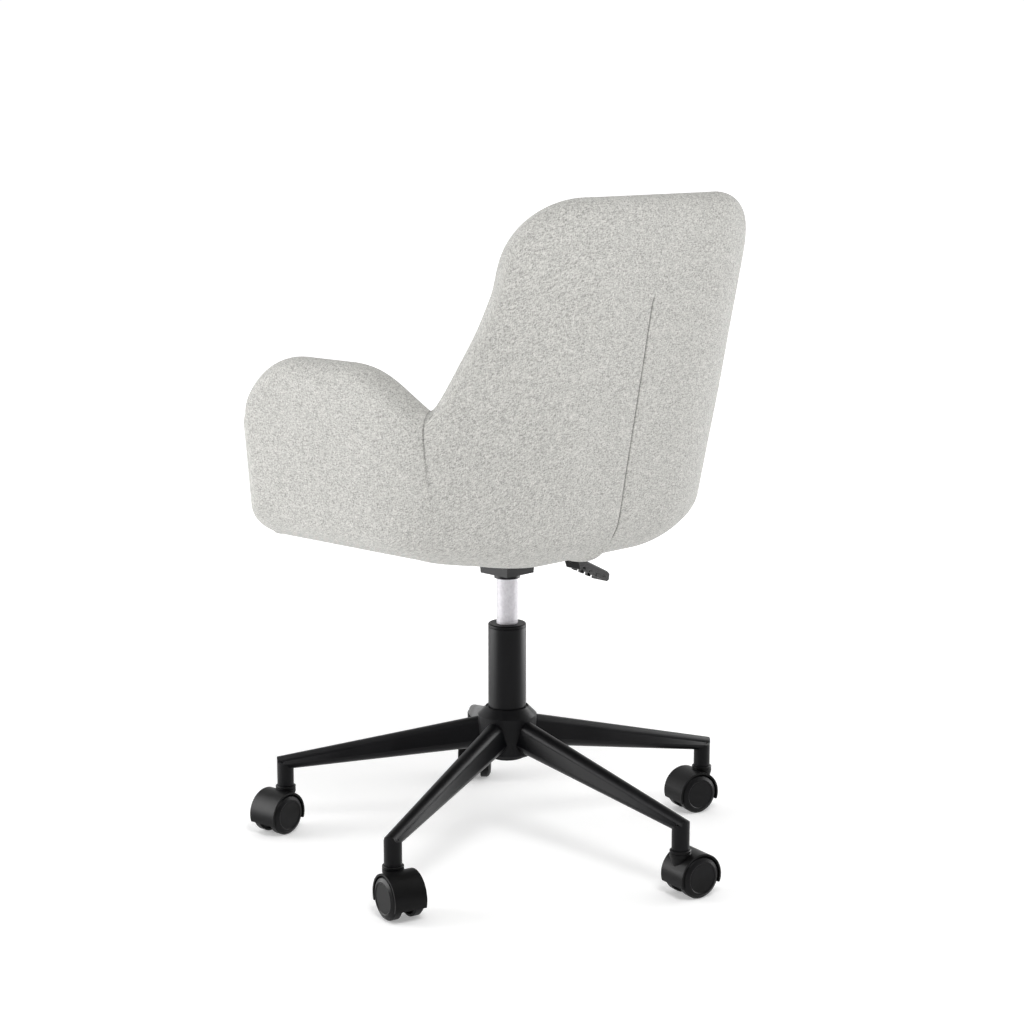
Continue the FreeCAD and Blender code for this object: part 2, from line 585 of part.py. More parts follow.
def make_lever():
    """The height lever: a bent rod that tips on its pivot pin, with a toothed grip on its end."""
    radius, height, reach = dim("lever_rod_radius"), dim("lever_height"), dim("lever_pivot_reach")
    start = Vector(radius / 2, 0, height)
    elbow = Vector(-dim("lever_elbow_reach"), 0, height - dim("lever_elbow_drop"))
    knee = Vector(-dim("lever_knee_reach"), 0, height - dim("lever_knee_drop"))
    end = Vector(-dim("lever_end_reach"), 0, height - dim("lever_end_drop"))
    path = rounded_path([start, elbow, knee, end], dim("lever_bend"))
    profile = Part.Wire([Part.Circle(start, Vector(1, 0, 0), radius).toShape()])
    rod = Part.Wire(path).makePipeShell([profile], True, True)
    across, side = Vector(0, 1, 0), radius * 2
    hole = Part.makeCylinder(radius / 2 + dim("running_fit"), side * 2, Vector(-reach, -side, height), across)
    keep(shaped("lever_rod", rod.cut(hole)), "lever_rod")
    top, root, tip = height - dim("grip_drop"), -dim("lever_knee_reach") + 1, -dim("grip_reach")
    thick, fall = dim("grip_thickness"), dim("grip_fall")
    outline = [(root, top), (root - 10, top + 1), (tip + 4, top - fall + 5), (tip, top - fall)]
    outline.append((tip + 1, top - fall - thick / 2))
    teeth = {"teeth": 4, "depth": dim("grip_tooth")}
    outline += toothed_edge((tip + 5, top - fall - thick / 2 - 2), (root - 5, top - thick + 2), **teeth)
    body, pad = padded_outline("grip_blank", "XZ_Plane", outline, dim("grip_width"), True)
    doc.recompute()
    rounding = body.newObject("PartDesign::Fillet", "grip_rounding")
    rims = [f"Edge{number}" for number, edge in enumerate(pad.Shape.Edges, start=1)
            if abs(edge.tangentAt(edge.FirstParameter).y) < 0.01 and edge.Length > thick * 2]
    rounding.Base = (pad, rims)
    rounding.Radius = 2.5
    inner_root, inner_tip, ceiling = root - 15, tip + 12, top - dim("grip_ceiling")
    hollow = [(inner_root, ceiling), (inner_tip, top - fall), (inner_tip, top - fall - thick)]
    hollow.append((inner_root, ceiling - thick))
    inside, inside_pad = padded_outline("grip_inside", "XZ_Plane", hollow, dim("grip_inner_width"), True)
    shell = cut("grip_shell", body, inside)
    keep(cut("lever_grip", shell, shaped("grip_bore", rod)), "lever_grip")


def rounded_path(points, radius):
    """Straight runs through points, joined by tangent arcs of one radius."""
    edges, last = [], points[0]
    for before, corner, after in zip(points, points[1:], points[2:]):
        inward, outward = (corner - before).normalize(), (after - corner).normalize()
        turn = inward.getAngle(outward)
        setback = radius * math.tan(turn / 2)
        first, second = corner - inward * setback, corner + outward * setback
        bulge = (outward - inward).normalize() * (radius / math.cos(turn / 2) - radius)
        edges += [Part.LineSegment(last, first).toShape(), Part.Arc(first, corner + bulge, second).toShape()]
        last = second
    edges.append(Part.LineSegment(last, points[-1]).toShape())
    return edges


# ---------------------------------------------------------------- casters

def make_caster(number, angle, heading):
    """One twin-wheel caster: hood, axle and two wheels, its axle trailing the stem along a heading."""
    x, y = around(dim("leg_circle"), float(angle))
    trail, height = dim("caster_trail"), dim("wheel_radius")
    place = Placement(Vector(x, y, 0), Rotation(Vector(0, 0, 1), heading))
    along = Vector(1, 0, 0)
    name = f"caster_{number}"
    keep(caster_hood(name, place, x, y), f"{name}_hood")
    forward = place.Rotation.multVec(along) * float(trail)
    axle_x, axle_y = x + forward.x, y + forward.y
    half = dim("wheel_outer_side") - 3.2
    radius = dim("axle_radius")
    axle = turned(f"{name}_axle", [(0, 0), (radius, 0), (radius, half * 2), (0, half * 2)])
    sideways = place.Rotation.multVec(Vector(0, 1, 0))
    axle.Placement = Placement(Vector(0, 0, 0), Rotation(Vector(0, 0, 1), sideways))
    bind(axle, x=axle_x - half * sideways.x, y=axle_y - half * sideways.y, z=height)
    keep(axle, f"{name}_axle")
    for side, letter in ((1, "a"), (-1, "b")):
        wheel = turned(f"{name}_wheel_{letter}", wheel_profile())
        wheel.Placement = Placement(Vector(0, 0, 0), Rotation(Vector(0, 0, 1), sideways * side))
        keep(bind(wheel, x=axle_x, y=axle_y, z=height), f"{name}_wheel_{letter}")


def wheel_profile():
    """A wheel's half section: an open cup with a hub, its flat face on the outside."""
    inner, outer, radius = dim("wheel_inner_side"), dim("wheel_outer_side"), dim("wheel_radius")
    bore, hub = dim("axle_radius") + dim("running_fit"), dim("axle_radius") + 4
    face, back = dim("wheel_face_radius"), outer - 2.8
    profile = [(bore, inner), (hub, inner), (hub, back), (radius - 3, back - 3), (radius - 3, inner + 1)]
    profile += [(radius - 1, inner + 1), (radius, inner + 2), (radius, outer - 5), (radius - 2, outer - 2.2)]
    profile += [(face, outer), (face - 1.5, outer), (face - 2.5, outer - 0.8), (0, outer - 0.8)]
    return profile + [(0, back), (bore, back)]


def caster_hood(name, place, x, y):
    """The hood over both wheels with the web between them and the collar round the stem."""
    trail, height, radius = dim("caster_trail"), dim("wheel_radius"), dim("hood_radius")
    half, web = dim("hood_half_width"), dim("wheel_inner_side") - 1.5
    boss, stem_top = dim("boss_radius"), dim("leg_foot_low")
    lying = Rotation(Vector(1, 0, 0), -90)

    def across(label, size, low, high):
        item = doc.addObject("Part::Cylinder", f"{name}_{label}")
        item.Placement = Placement(Vector(0, 0, 0), lying)
        return bind(item, Radius=size, Height=high - low, x=trail, y=low, z=height)

    fender = across("fender", radius, -half, half)
    foot, neck, waist, rim = height + 10, stem_top - 5, boss - 0.8, stem_top - 0.5
    ring = [(0, foot), (boss - 5, foot), (boss, foot + 16), (boss, neck)]
    ring += [(waist, neck + 0.4), (waist, neck + 1.4), (boss, neck + 1.8), (boss, rim - 0.9)]
    collar = turned(f"{name}_collar", ring + [(boss - 1, rim), (0, rim)])
    solid = fused(f"{name}_solid", [fender, collar])
    room = dim("hood_inside")
    spaces = [across("left_space", room, web, half + 1), across("right_space", room, -half - 1, -web)]
    spaces.append(across("axle_bore", dim("axle_radius"), -half, half))
    bore = dim("stem_radius") + dim("running_fit")
    spaces.append(cylinder(f"{name}_stem_bore", bore, dim("stem_low") - 0.5, stem_top + 1))
    below = (radius * 4, half * 4, radius + dim("hood_low"))
    spaces.append(block(f"{name}_low_cut", (-radius, -half * 2, -radius), below))
    hood = cut(f"{name}_hood", solid, fused(f"{name}_spaces", spaces))
    hood.Placement = place
    return bind(hood, x=x, y=y)


# ---------------------------------------------------------------- tub seat

def plan_point(along):
    """Plan of the shell's outside at a distance along it from the middle of the back.

    Returns x, y and the outward direction. The plan is a flat back, two round corners and
    straight arms that open a little to the front.
    """
    side, along = (1 if along >= 0 else -1), abs(along)
    flat = dim("back_flat")
    radius = dim("shell_half_width") - flat
    full_turn = math.radians(90 - dim("arm_splay"))
    turn = min(max((along - flat) / radius, 0), full_turn)
    past = max(along - flat - radius * full_turn, 0)
    x = min(along, flat) + radius * math.sin(turn) + past * math.cos(full_turn)
    y = dim("back_depth") - radius * (1 - math.cos(turn)) - past * math.sin(full_turn)
    return side * x, y, side * math.sin(turn), math.cos(turn)


def arm_length():
    """Distance along the shell from the middle of the back to an arm's front."""
    splay = math.radians(dim("arm_splay"))
    radius = dim("shell_half_width") - dim("back_flat")
    corner_end = dim("back_flat") + radius * (math.pi / 2 - splay)
    corner_y = dim("back_depth") - radius * (1 - math.sin(splay))
    return corner_end + (corner_y + dim("arm_front")) / math.cos(splay)


def edge_height(along):
    """Height of the padded edge: the back's top, its round corner, the dip and the arm."""
    along, corner = abs(along), dim("back_corner")
    start = dim("back_top_half")
    step = min(max((along - start + corner) / corner, 0), 1)
    back = dim("back_top") - corner * (1 - math.sqrt(1 - step * step))
    if along > start:
        left = max(1 - (along - start) / (dim("edge_end") - start), 0)
        back = dim("edge_low") + (dim("back_top") - corner - dim("edge_low")) * left ** dim("edge_power")
    behind = min(max(plan_point(along)[1], 0), 170)
    arm = dim("arm_top") - dim("arm_dip") * behind ** 2
    return (back + arm) / 2 + math.hypot((back - arm) / 2, dim("valley_blend"))


def front_rounding(along, radius):
    """How far a corner of this radius at an arm's front takes the edge in."""
    step = min(max((abs(along) - arm_length() + radius) / radius, 0), 1)
    return radius * (1 - math.sqrt(1 - step * step))


def wall_point(along, inset, height):
    """A point of the shell's wall: an inset from its outside at a height."""
    x, y, out_x, out_y = plan_point(along)
    rise = height - dim("lean_height")
    sideways = dim("side_tuck_in") * rise / 200 if rise < 0 else dim("side_flare") * rise / 260
    corner = dim("corner_tuck") * min(rise, 0) / 200 * (2 * out_x * out_y) ** 2
    shift = out_y ** 2 * dim("back_lean") * rise + out_x ** 2 * sideways + corner - inset
    return Vector(x + out_x * shift, y + out_y * shift, height)


def bowl_reach(along):
    """How far in from the outside the flat underside starts."""
    _, _, out_x, out_y = plan_point(along)
    return dim("side_bowl") * out_x ** 2 + dim("back_bowl") * out_y ** 2


def bowl_curve(along, depth, angles):
    """Points of the curve from wall to underside, at a depth inside the outside surface."""
    reach, rise = bowl_reach(along), dim("bowl_height")
    middle = dim("shell_low") + rise
    points = []
    for angle in angles:
        turn = math.radians(angle)
        inset = depth + (reach - depth) * (1 - math.cos(turn))
        points.append((inset, middle - (rise - depth) * math.sin(turn)))
    return points


def ring_section(along, corners, squeeze=1.0, lift=0.0):
    """A closed upright section of the wall through (inset, height) corners.

    Squeeze narrows the wall about its middle and lift raises its lowest part, for the arm's front.
    """
    middle, low = dim("pad_thickness") / 2, dim("shell_low")
    points = []
    for inset, height in corners:
        raised = height + lift * max(0, 1 - (height - low) / (dim("bowl_height") + lift))
        narrowed = middle + (inset - middle) * squeeze
        points.append(wall_point(along, narrowed, raised))
    return Part.makePolygon(points + points[:1])


def stations(end):
    """Distances along the shell at which its sections are drawn, closer at the corners."""
    flat, start, corner = dim("back_flat"), dim("back_top_half"), dim("back_corner")
    half = [flat * 0.75, start - corner]
    half += [start - corner * share for share in (0.7, 0.45, 0.22, 0.07)]
    half += [start + 14, start + 38, start + 62, start + 86, start + 110, start + 136, start + 166]
    half += [start + 210, start + 260, start + 310, start + 350]
    half = [spot for spot in half if spot < end - 24] + [end - 12, end]
    return [-spot for spot in reversed(half)] + [0.0] + half


PAD_END = 20
PLY_END = 30
PAD_LIP = 4
PLY_LIP = 12
SLOT_ROOM = 0.3
SLOT_HEAD = 2.5


def pad_section(along):
    """Section of the padding with the slot that holds the plywood."""
    thick, foam, ply = dim("pad_thickness"), dim("outer_foam"), dim("ply_thickness")
    top = edge_height(along) - front_rounding(along, dim("arm_nose_high"))
    crown = top - thick / 2
    lip = bowl_reach(along) + PAD_LIP
    low = dim("shell_low")
    section = [(lip, low)] + bowl_curve(along, 0, (90, 65, 40, 18, 0))
    section += [(0, crown), (thick * 0.146, crown + thick * 0.354), (thick / 2, top)]
    section += [(thick * 0.854, crown + thick * 0.354), (thick, crown), (thick, low + 62)]
    section += [(thick, low + 37)] + bowl_curve(along, foam + ply, (36, 18, 0))
    slot_top = top - dim("ply_drop")
    section += [(foam + ply, slot_top), (foam, slot_top)]
    section += bowl_curve(along, foam, (0, 18, 40, 65, 90)) + [(lip, low + foam)]
    return section


def ply_section(along):
    """Section of the moulded plywood: an upright wall that curves in to the flat bottom."""
    outer = dim("outer_foam") + SLOT_ROOM
    inner = dim("outer_foam") + dim("ply_thickness") - SLOT_ROOM
    top = edge_height(along) - front_rounding(along, dim("arm_nose_high")) - dim("ply_drop") - SLOT_HEAD
    lip = bowl_reach(along) + PLY_LIP
    section = [(lip, dim("shell_low") + outer)] + bowl_curve(along, outer, (90, 65, 40, 18, 0))
    section += [(outer, top), (inner, top)]
    section += bowl_curve(along, inner, (0, 18, 36, 65, 90))
    return section + [(lip, dim("shell_low") + inner)]


def nose_shape():
    """The solid padded front of the left arm, rounded in plan and at its corners."""
    end, thick, low = arm_length(), dim("pad_thickness"), dim("shell_low")
    sections = []
    for back in (PAD_END, 13, 7, 3, 0.6):
        along = end - back
        top = edge_height(along) - front_rounding(along, dim("arm_nose_high"))
        narrow = math.sqrt(1 - (1 - back / (thick / 2)) ** 2)
        crown = top - thick / 2
        corners = [(bowl_reach(along) + PAD_LIP, low)] + bowl_curve(along, 0, (90, 65, 40, 18, 0))
        corners = [(min(inset, thick - 4), height) for inset, height in corners if inset < thick]
        corners += [(0, crown), (thick * 0.146, crown + thick * 0.354), (thick / 2, top)]
        corners += [(thick * 0.854, crown + thick * 0.354), (thick, crown), (thick, low + 37)]
        lift = front_rounding(along, dim("arm_nose_low"))
        sections.append(ring_section(along, corners, narrow, lift))
    return Part.makeLoft(sections, True, True)


def make_upholstery():
    end = arm_length()
    sections = [ring_section(along, pad_section(along)) for along in stations(end - PAD_END)]
    wall = Part.makeLoft(sections, True, True)
    nose = nose_shape()
    pad = wall.fuse([nose, nose.mirror(Vector(0, 0, 0), Vector(1, 0, 0))])
    keep(shaped("tub_padding", pad), "tub_padding")


def plan_spline(inset_at, height, end):
    """A smooth U-shaped edge round the seat at a height, from one arm to the other."""
    points = [wall_point(along, inset_at(along), height) for along in stations(end)]
    curve = Part.BSplineCurve()
    curve.interpolate(points)
    return curve.toShape(), points[0], points[-1]


def seat_outline(inset_at, height, end, front):
    """A closed outline: the U round the seat, closed across the front."""
    edge, first, last = plan_spline(inset_at, height, end)
    corners = [last, Vector(last.x, -front, height), Vector(first.x, -front, height), first]
    sides = [Part.LineSegment(a, b).toShape() for a, b in zip(corners, corners[1:])]
    return Part.Wire([edge] + sides)


def make_seat_shell():
    sections = [ring_section(along, ply_section(along)) for along in stations(arm_length() - PLY_END)]
    keep(shaped("seat_shell", Part.makeLoft(sections, True, True)), "seat_shell")


def make_seat_floor(drills):
    """The plywood floor that lies on the shell's flange and carries the seat plate."""
    low = dim("shell_low") + dim("outer_foam") + dim("ply_thickness")
    outline = seat_outline(lambda along: bowl_reach(along) + 2, low, arm_length() - PLY_END,
                           dim("arm_front") - 4)
    panel = Part.Face(outline).extrude(Vector(0, 0, dim("ply_thickness")))
    keep(cut("seat_floor", shaped("floor_blank", panel), drills), "seat_floor")


def make_cushion():
    """The seat cushion: it fills the bowl of the shell and stands out over its front."""
    low, end, thick = dim("shell_low"), arm_length() - PLY_END - 20, dim("pad_thickness")
    foam = dim("outer_foam") + dim("ply_thickness")
    top, front, inside = dim("cushion_top"), dim("cushion_front"), dim("arm_front") - 12
    levels = [(low + 32, 44, inside), (low + 38, None, front)]
    levels += [(top - 22, None, front), (top - 7, None, front - 3), (top, None, front - 16)]
    sections = []
    for height, angle, front_here in levels:
        extra = 3.6 + max(height - top + 10, 0) * 1.6
        if angle is None:
            reach_in = lambda along, more=extra: thick + more
        else:
            reach_in = lambda along, turn=angle: bowl_curve(along, foam, (turn,))[0][0] + 11
        sections.append(seat_outline(reach_in, height, end, front_here))
    keep(shaped("seat_cushion", Part.makeLoft(sections, True, True)), "seat_cushion")


def make_front_apron():
    """The padded strip that closes the front below the cushion, its foot following the bowl."""
    low, near, far = dim("shell_low"), dim("arm_front") + 1, dim("cushion_front") - 2
    half = dim("shell_half_width") - dim("pad_thickness") - 10
    foot = [(half - 98, low + 0.5), (half - 51, low + 3), (half, low + 11.5), (half, low + 33)]
    outline = foot + [(-across, up) for across, up in reversed(foot)]
    body, _ = padded_outline("front_apron", "XZ_Plane", outline, far - near, True)
    bind(body, y=-(far + near) / 2)
    keep(body, "front_apron")


def make_dust_cover():
    """The thin cloth under the seat, round the spacer board."""
    low, end = dim("shell_low") + dim("outer_foam") - 1.2, arm_length() - PLY_END - 10
    outline = seat_outline(lambda along: bowl_reach(along) + PAD_LIP + 3, low, end, dim("arm_front") - 16)
    cloth = shaped("dust_cloth", Part.Face(outline).extrude(Vector(0, 0, 1.2)))
    side = dim("plate_side") + 12
    opening = block("dust_opening", (-side / 2, -side / 2, low - 1), (side, side, 4))
    keep(cut("dust_cover", cloth, opening), "dust_cover")


CASTER_HEADINGS = (75.5, 168.0, 344.0, 43.0, 7.0)

make_hub()
make_legs()
make_stem_pieces()
make_column()
make_thrust_bearing()
make_piston_rod()
make_gas_spring()
make_mechanism()
make_seat_plate()
floor_drills = make_seat_fasteners()
make_lever()
for place_number, (leg_angle, caster_heading) in enumerate(zip(leg_angles, CASTER_HEADINGS), start=1):
    make_caster(place_number, leg_angle, caster_heading)
make_upholstery()
make_seat_shell()
make_seat_floor(floor_drills)
make_cushion()
make_front_apron()
make_dust_cover()

doc.recompute()
for item in doc.Objects:
    if "Invalid" in item.State or "Error" in item.State:
        raise RuntimeError(f"{item.Label} failed: {item.State}")
for item in sub_parts:
    if item.Shape.isNull() or not item.Shape.isValid():
        raise RuntimeError(f"{item.Label} has no valid shape")

os.makedirs("parts", exist_ok=True)
for item in sub_parts:
    item.Shape.exportStep(f"parts/{item.Label}.step")
    print(f"{item.Label:24s} {len(item.Shape.Solids):3d} solids {item.Shape.Volume / 1000:10.2f} cm3")
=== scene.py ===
import json
import math

import bpy
import numpy as np
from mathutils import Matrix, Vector, noise


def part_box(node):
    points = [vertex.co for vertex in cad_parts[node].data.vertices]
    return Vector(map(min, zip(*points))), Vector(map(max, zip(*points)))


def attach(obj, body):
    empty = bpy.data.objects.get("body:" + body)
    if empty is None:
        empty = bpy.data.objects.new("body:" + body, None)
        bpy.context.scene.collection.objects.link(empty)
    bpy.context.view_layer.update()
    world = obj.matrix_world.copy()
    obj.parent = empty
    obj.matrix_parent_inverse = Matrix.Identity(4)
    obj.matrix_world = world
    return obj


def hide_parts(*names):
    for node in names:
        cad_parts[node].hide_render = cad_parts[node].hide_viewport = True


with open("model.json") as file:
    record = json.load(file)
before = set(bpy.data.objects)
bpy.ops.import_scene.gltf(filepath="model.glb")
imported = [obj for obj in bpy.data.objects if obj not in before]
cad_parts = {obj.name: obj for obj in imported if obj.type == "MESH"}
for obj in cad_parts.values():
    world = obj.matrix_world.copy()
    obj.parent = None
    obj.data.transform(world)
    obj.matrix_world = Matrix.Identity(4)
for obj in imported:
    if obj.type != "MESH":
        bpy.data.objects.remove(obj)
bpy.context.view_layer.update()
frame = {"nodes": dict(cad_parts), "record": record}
MM = 0.001

# ---------------------------------------------------------------- materials


class Tree:
    """Short-hand for building one material's nodes. A keyword input is a socket's name with underscores."""

    def __init__(self, name):
        self.material = bpy.data.materials.new(name)
        self.material.use_nodes = True
        self.nodes = self.material.node_tree.nodes
        self.shader = self.nodes["Principled BSDF"]

    def add(self, kind, settings=None, **inputs):
        node = self.nodes.new(kind)
        for name, value in (settings or {}).items():
            setattr(node, name, value)
        for name, value in inputs.items():
            self.feed(node, name.replace("_", " "), value)
        return node

    def feed(self, node, slot, value):
        """Link a socket to a node's input, or set the input to a value."""
        if isinstance(value, bpy.types.NodeSocket):
            self.material.node_tree.links.new(value, node.inputs[slot])
        else:
            node.inputs[slot].default_value = value

    def finish(self, **inputs):
        """Feed the surface shader and hand the material back."""
        for name, value in inputs.items():
            self.feed(self.shader, name.replace("_", " "), value)
        return self.material

    def scaled(self, vector, scale):
        return self.add("ShaderNodeMapping", Vector=vector, Scale=scale).outputs["Vector"]

    def place(self, source, scale=(1, 1, 1)):
        """Texture coordinates of one kind, stretched by a scale along each axis."""
        return self.scaled(self.add("ShaderNodeTexCoord").outputs[source], scale)

    def vector(self, operation, first, second=None):
        node = self.add("ShaderNodeVectorMath", {"operation": operation}, Vector=first)
        if second is not None:
            self.feed(node, 1, second)
        return node.outputs["Vector"]

    def noise(self, vector, scale, detail, roughness):
        return self.add("ShaderNodeTexNoise", Vector=vector, Scale=scale, Detail=detail,
                        Roughness=roughness).outputs["Fac"]

    def math(self, operation, first, second):
        node = self.add("ShaderNodeMath", {"operation": operation})
        self.feed(node, 0, first)
        self.feed(node, 1, second)
        return node.outputs["Value"]

    def blend(self, parts):
        """A weighted sum of factors."""
        total = None
        for factor, weight in parts:
            scaled = self.math("MULTIPLY", factor, weight)
            total = scaled if total is None else self.math("ADD", total, scaled)
        return total

    def spread(self, factor, low, high, out_low, out_high):
        """A factor carried from one range to another."""
        return self.add("ShaderNodeMapRange", Value=factor, From_Min=low, From_Max=high,
                        To_Min=out_low, To_Max=out_high).outputs["Result"]

    def ramp(self, factor, stops):
        """A colour for a factor, from (position, colour) stops."""
        node = self.add("ShaderNodeValToRGB", Fac=factor)
        ramp = node.color_ramp
        while len(ramp.elements) < len(stops):
            ramp.elements.new(0.5)
        for element, (position, colour) in zip(ramp.elements, stops):
            element.position = position
            element.color = (*colour, 1)
        return node.outputs["Color"]

    def bump(self, height, strength, distance):
        node = self.add("ShaderNodeBump", Height=height, Strength=strength, Distance=distance)
        return node.outputs["Normal"]


def yarn_runs(tree, cloth, direction, length, width):
    """A random value for each short run of yarn that shows on the face of a weave."""
    across = tree.vector("FLOOR", tree.scaled(cloth, [(1 - way) / width for way in direction]))
    stagger = tree.add("ShaderNodeTexWhiteNoise", Vector=across).outputs["Color"]
    along = tree.vector("ADD", tree.scaled(cloth, [way / length for way in direction]), stagger)
    run = tree.vector("ADD", across, tree.vector("FLOOR", along))
    return tree.add("ShaderNodeTexWhiteNoise", Vector=run).outputs["Value"]


def heathered_fabric(name, source):
    """Light grey flat-woven upholstery of mixed light and dark yarns, with painted shade along the seam
    creases.
    """
    tree = Tree(name)
    flat = tree.place(source)
    uneven = tree.add("ShaderNodeTexNoise", Vector=flat, Scale=110, Detail=1.0).outputs["Color"]
    wander, yarn = 0.7 * MM, 0.75 * MM
    cloth = tree.vector("ADD", flat, tree.scaled(uneven, (wander,) * 3))
    weft = yarn_runs(tree, cloth, (1, 0, 0), 2.6 * MM, yarn)
    warp = yarn_runs(tree, cloth, (0, 1, 0), 2.0 * MM, yarn)
    flecks = tree.noise(flat, 1200, 1.0, 0.6)
    clumps = tree.noise(flat, 260, 2.0, 0.6)
    patches = tree.noise(flat, 14, 2.0, 0.5)
    slubs = tree.noise(tree.scaled(flat, (50, 820, 820)), 1.0, 1.0, 0.5)
    upright_slubs = tree.noise(tree.scaled(flat, (820, 50, 50)), 1.0, 1.0, 0.5)
    mixed = tree.blend([(weft, 0.28), (warp, 0.26), (flecks, 0.12), (slubs, 0.14), (upright_slubs, 0.12),
                        (clumps, 0.04), (patches, 0.04)])
    yarns = [(0.27, 0.24), (0.45, 0.376), (0.55, 0.44), (0.73, 0.575)]
    colour = tree.ramp(mixed, [(at, (grey, grey * 0.99, grey * 0.94)) for at, grey in yarns])
    # painted shade: the seam creases are darkened, broken faintly along their length by the stitches
    seam = tree.add("ShaderNodeAttribute", {"attribute_name": "seam"}).outputs["Fac"]
    stitches = tree.noise(tree.scaled(flat, (0, 1, 0)), 330, 0.0, 0.5)
    crease = tree.math("MULTIPLY", seam, tree.spread(stitches, 0.35, 0.65, 0.85, 1.0))
    shade = tree.spread(crease, 0.0, 1.0, 1.0, 0.22)
    dimmed = tree.add("ShaderNodeVectorMath", {"operation": "SCALE"}, Vector=colour, Scale=shade)
    weave = tree.blend([(weft, 0.3), (warp, 0.3), (flecks, 0.4)])
    return tree.finish(Base_Color=dimmed.outputs["Vector"],
                       Roughness=tree.spread(mixed, 0.3, 0.7, 0.96, 0.84),
                       Normal=tree.bump(weave, 0.2, 0.001), Sheen_Weight=0.1, Sheen_Roughness=0.5,
                       Specular_IOR_Level=0.15)


def powder_coat():
    """Satin black powder coat with its fine orange-peel texture."""
    tree = Tree("black_powder_coat")
    peel = tree.noise(tree.place("Object"), 700, 2.0, 0.5)
    haze = tree.noise(tree.place("Object"), 14, 3.0, 0.5)
    colour = tree.ramp(haze, [(0.3, (0.0026, 0.0026, 0.0031)), (0.7, (0.0042, 0.0042, 0.0050))])
    rough = tree.blend([(haze, 0.6), (peel, 0.4)])
    return tree.finish(Base_Color=colour, Roughness=tree.spread(rough, 0.3, 0.7, 0.30, 0.42),
                       Normal=tree.bump(peel, 0.10, 0.0003), Specular_IOR_Level=0.12)


def moulded_plastic(name, dark, light, rough_low, rough_high, grain):
    """Black nylon with a fine spark-eroded grain and faint flow marks."""
    tree = Tree(name)
    pits = tree.noise(tree.place("Object"), grain, 3.0, 0.6)
    flow = tree.noise(tree.place("Object", (1, 1, 2.5)), 22, 3.0, 0.55)
    colour = tree.ramp(flow, [(0.3, (dark,) * 3), (0.72, (light, light, light * 1.08))])
    return tree.finish(Base_Color=colour, Roughness=tree.spread(flow, 0.3, 0.7, rough_low, rough_high),
                       Normal=tree.bump(pits, 0.15, 0.0003), Specular_IOR_Level=0.1)


def zinc_tube():
    """Dull zinc plating: a pale lavender grey with a fine spangle and draw lines."""
    tree = Tree("zinc_plated_steel")
    clouds = tree.noise(tree.place("Object"), 60, 3.0, 0.6)
    spangle = tree.noise(tree.place("Object", (1, 1, 0.7)), 330, 3.0, 0.7)
    lines = tree.noise(tree.place("Object", (1, 1, 0.05)), 900, 2.0, 0.5)
    mixed = tree.blend([(clouds, 0.4), (spangle, 0.6)])
    tones = [(0.38, (0.53, 0.52, 0.545)), (0.5, (0.60, 0.585, 0.615)), (0.62, (0.66, 0.65, 0.675))]
    rough = tree.blend([(clouds, 0.5), (lines, 0.5)])
    return tree.finish(Base_Color=tree.ramp(mixed, tones), Metallic=0.1, Specular_IOR_Level=0.1,
                       Roughness=tree.spread(rough, 0.35, 0.65, 0.5, 0.64),
                       Normal=tree.bump(lines, 0.08, 0.0002))


def plain_steel(name, tint, rough):
    """Turned or drawn metal with fine lines and slight tarnish."""
    tree = Tree(name)
    lines = tree.noise(tree.place("Object", (1, 1, 12)), 160, 3.0, 0.6)
    tarnish = tree.noise(tree.place("Object"), 90, 3.0, 0.5)
    darker = tuple(channel * 0.72 for channel in tint)
    return tree.finish(Base_Color=tree.ramp(tarnish, [(0.3, darker), (0.7, tint)]), Metallic=1.0,
                       Roughness=tree.spread(lines, 0.3, 0.7, rough, rough + 0.16),
                       Normal=tree.bump(lines, 0.05, 0.0002))


def rubber():
    """Black rubber with a fine moulded grain."""
    tree = Tree("moulded_rubber")
    grain = tree.noise(tree.place("Object"), 700, 3.0, 0.6)
    colour = tree.ramp(grain, [(0.3, (0.006, 0.006, 0.006)), (0.7, (0.014, 0.014, 0.0135))])
    return tree.finish(Base_Color=colour,
                       Roughness=tree.spread(grain, 0.3, 0.7, 0.62, 0.82),
                       Normal=tree.bump(grain, 0.2, 0.0003))


def plywood():
    """Birch plywood with plies and a soft grain."""
    tree = Tree("birch_plywood")
    grain = tree.noise(tree.place("Object", (3, 60, 60)), 6.0, 5.0, 0.6)
    plies = tree.noise(tree.place("Object", (1, 1, 700)), 1.0, 1.0, 0.4)
    mixed = tree.blend([(grain, 0.7), (plies, 0.3)])
    tones = [(0.35, (0.38, 0.25, 0.13)), (0.5, (0.60, 0.43, 0.25)), (0.65, (0.74, 0.58, 0.38))]
    return tree.finish(Base_Color=tree.ramp(mixed, tones), Roughness=tree.spread(grain, 0.3, 0.7, 0.5, 0.66),
                       Normal=tree.bump(grain, 0.15, 0.0004))


def dust_cloth():
    """Black spun-bonded cloth with its pressed dots."""
    tree = Tree("spun_bonded_cloth")
    fibres = tree.noise(tree.place("Object"), 420, 4.0, 0.7)
    dots = tree.add("ShaderNodeTexVoronoi", Vector=tree.place("Object"), Scale=500).outputs["Distance"]
    colour = tree.ramp(fibres, [(0.3, (0.008, 0.008, 0.008)), (0.7, (0.03, 0.03, 0.03))])
    return tree.finish(Base_Color=colour,
                       Roughness=tree.spread(fibres, 0.3, 0.7, 0.85, 0.97),
                       Normal=tree.bump(dots, 0.4, 0.0004))


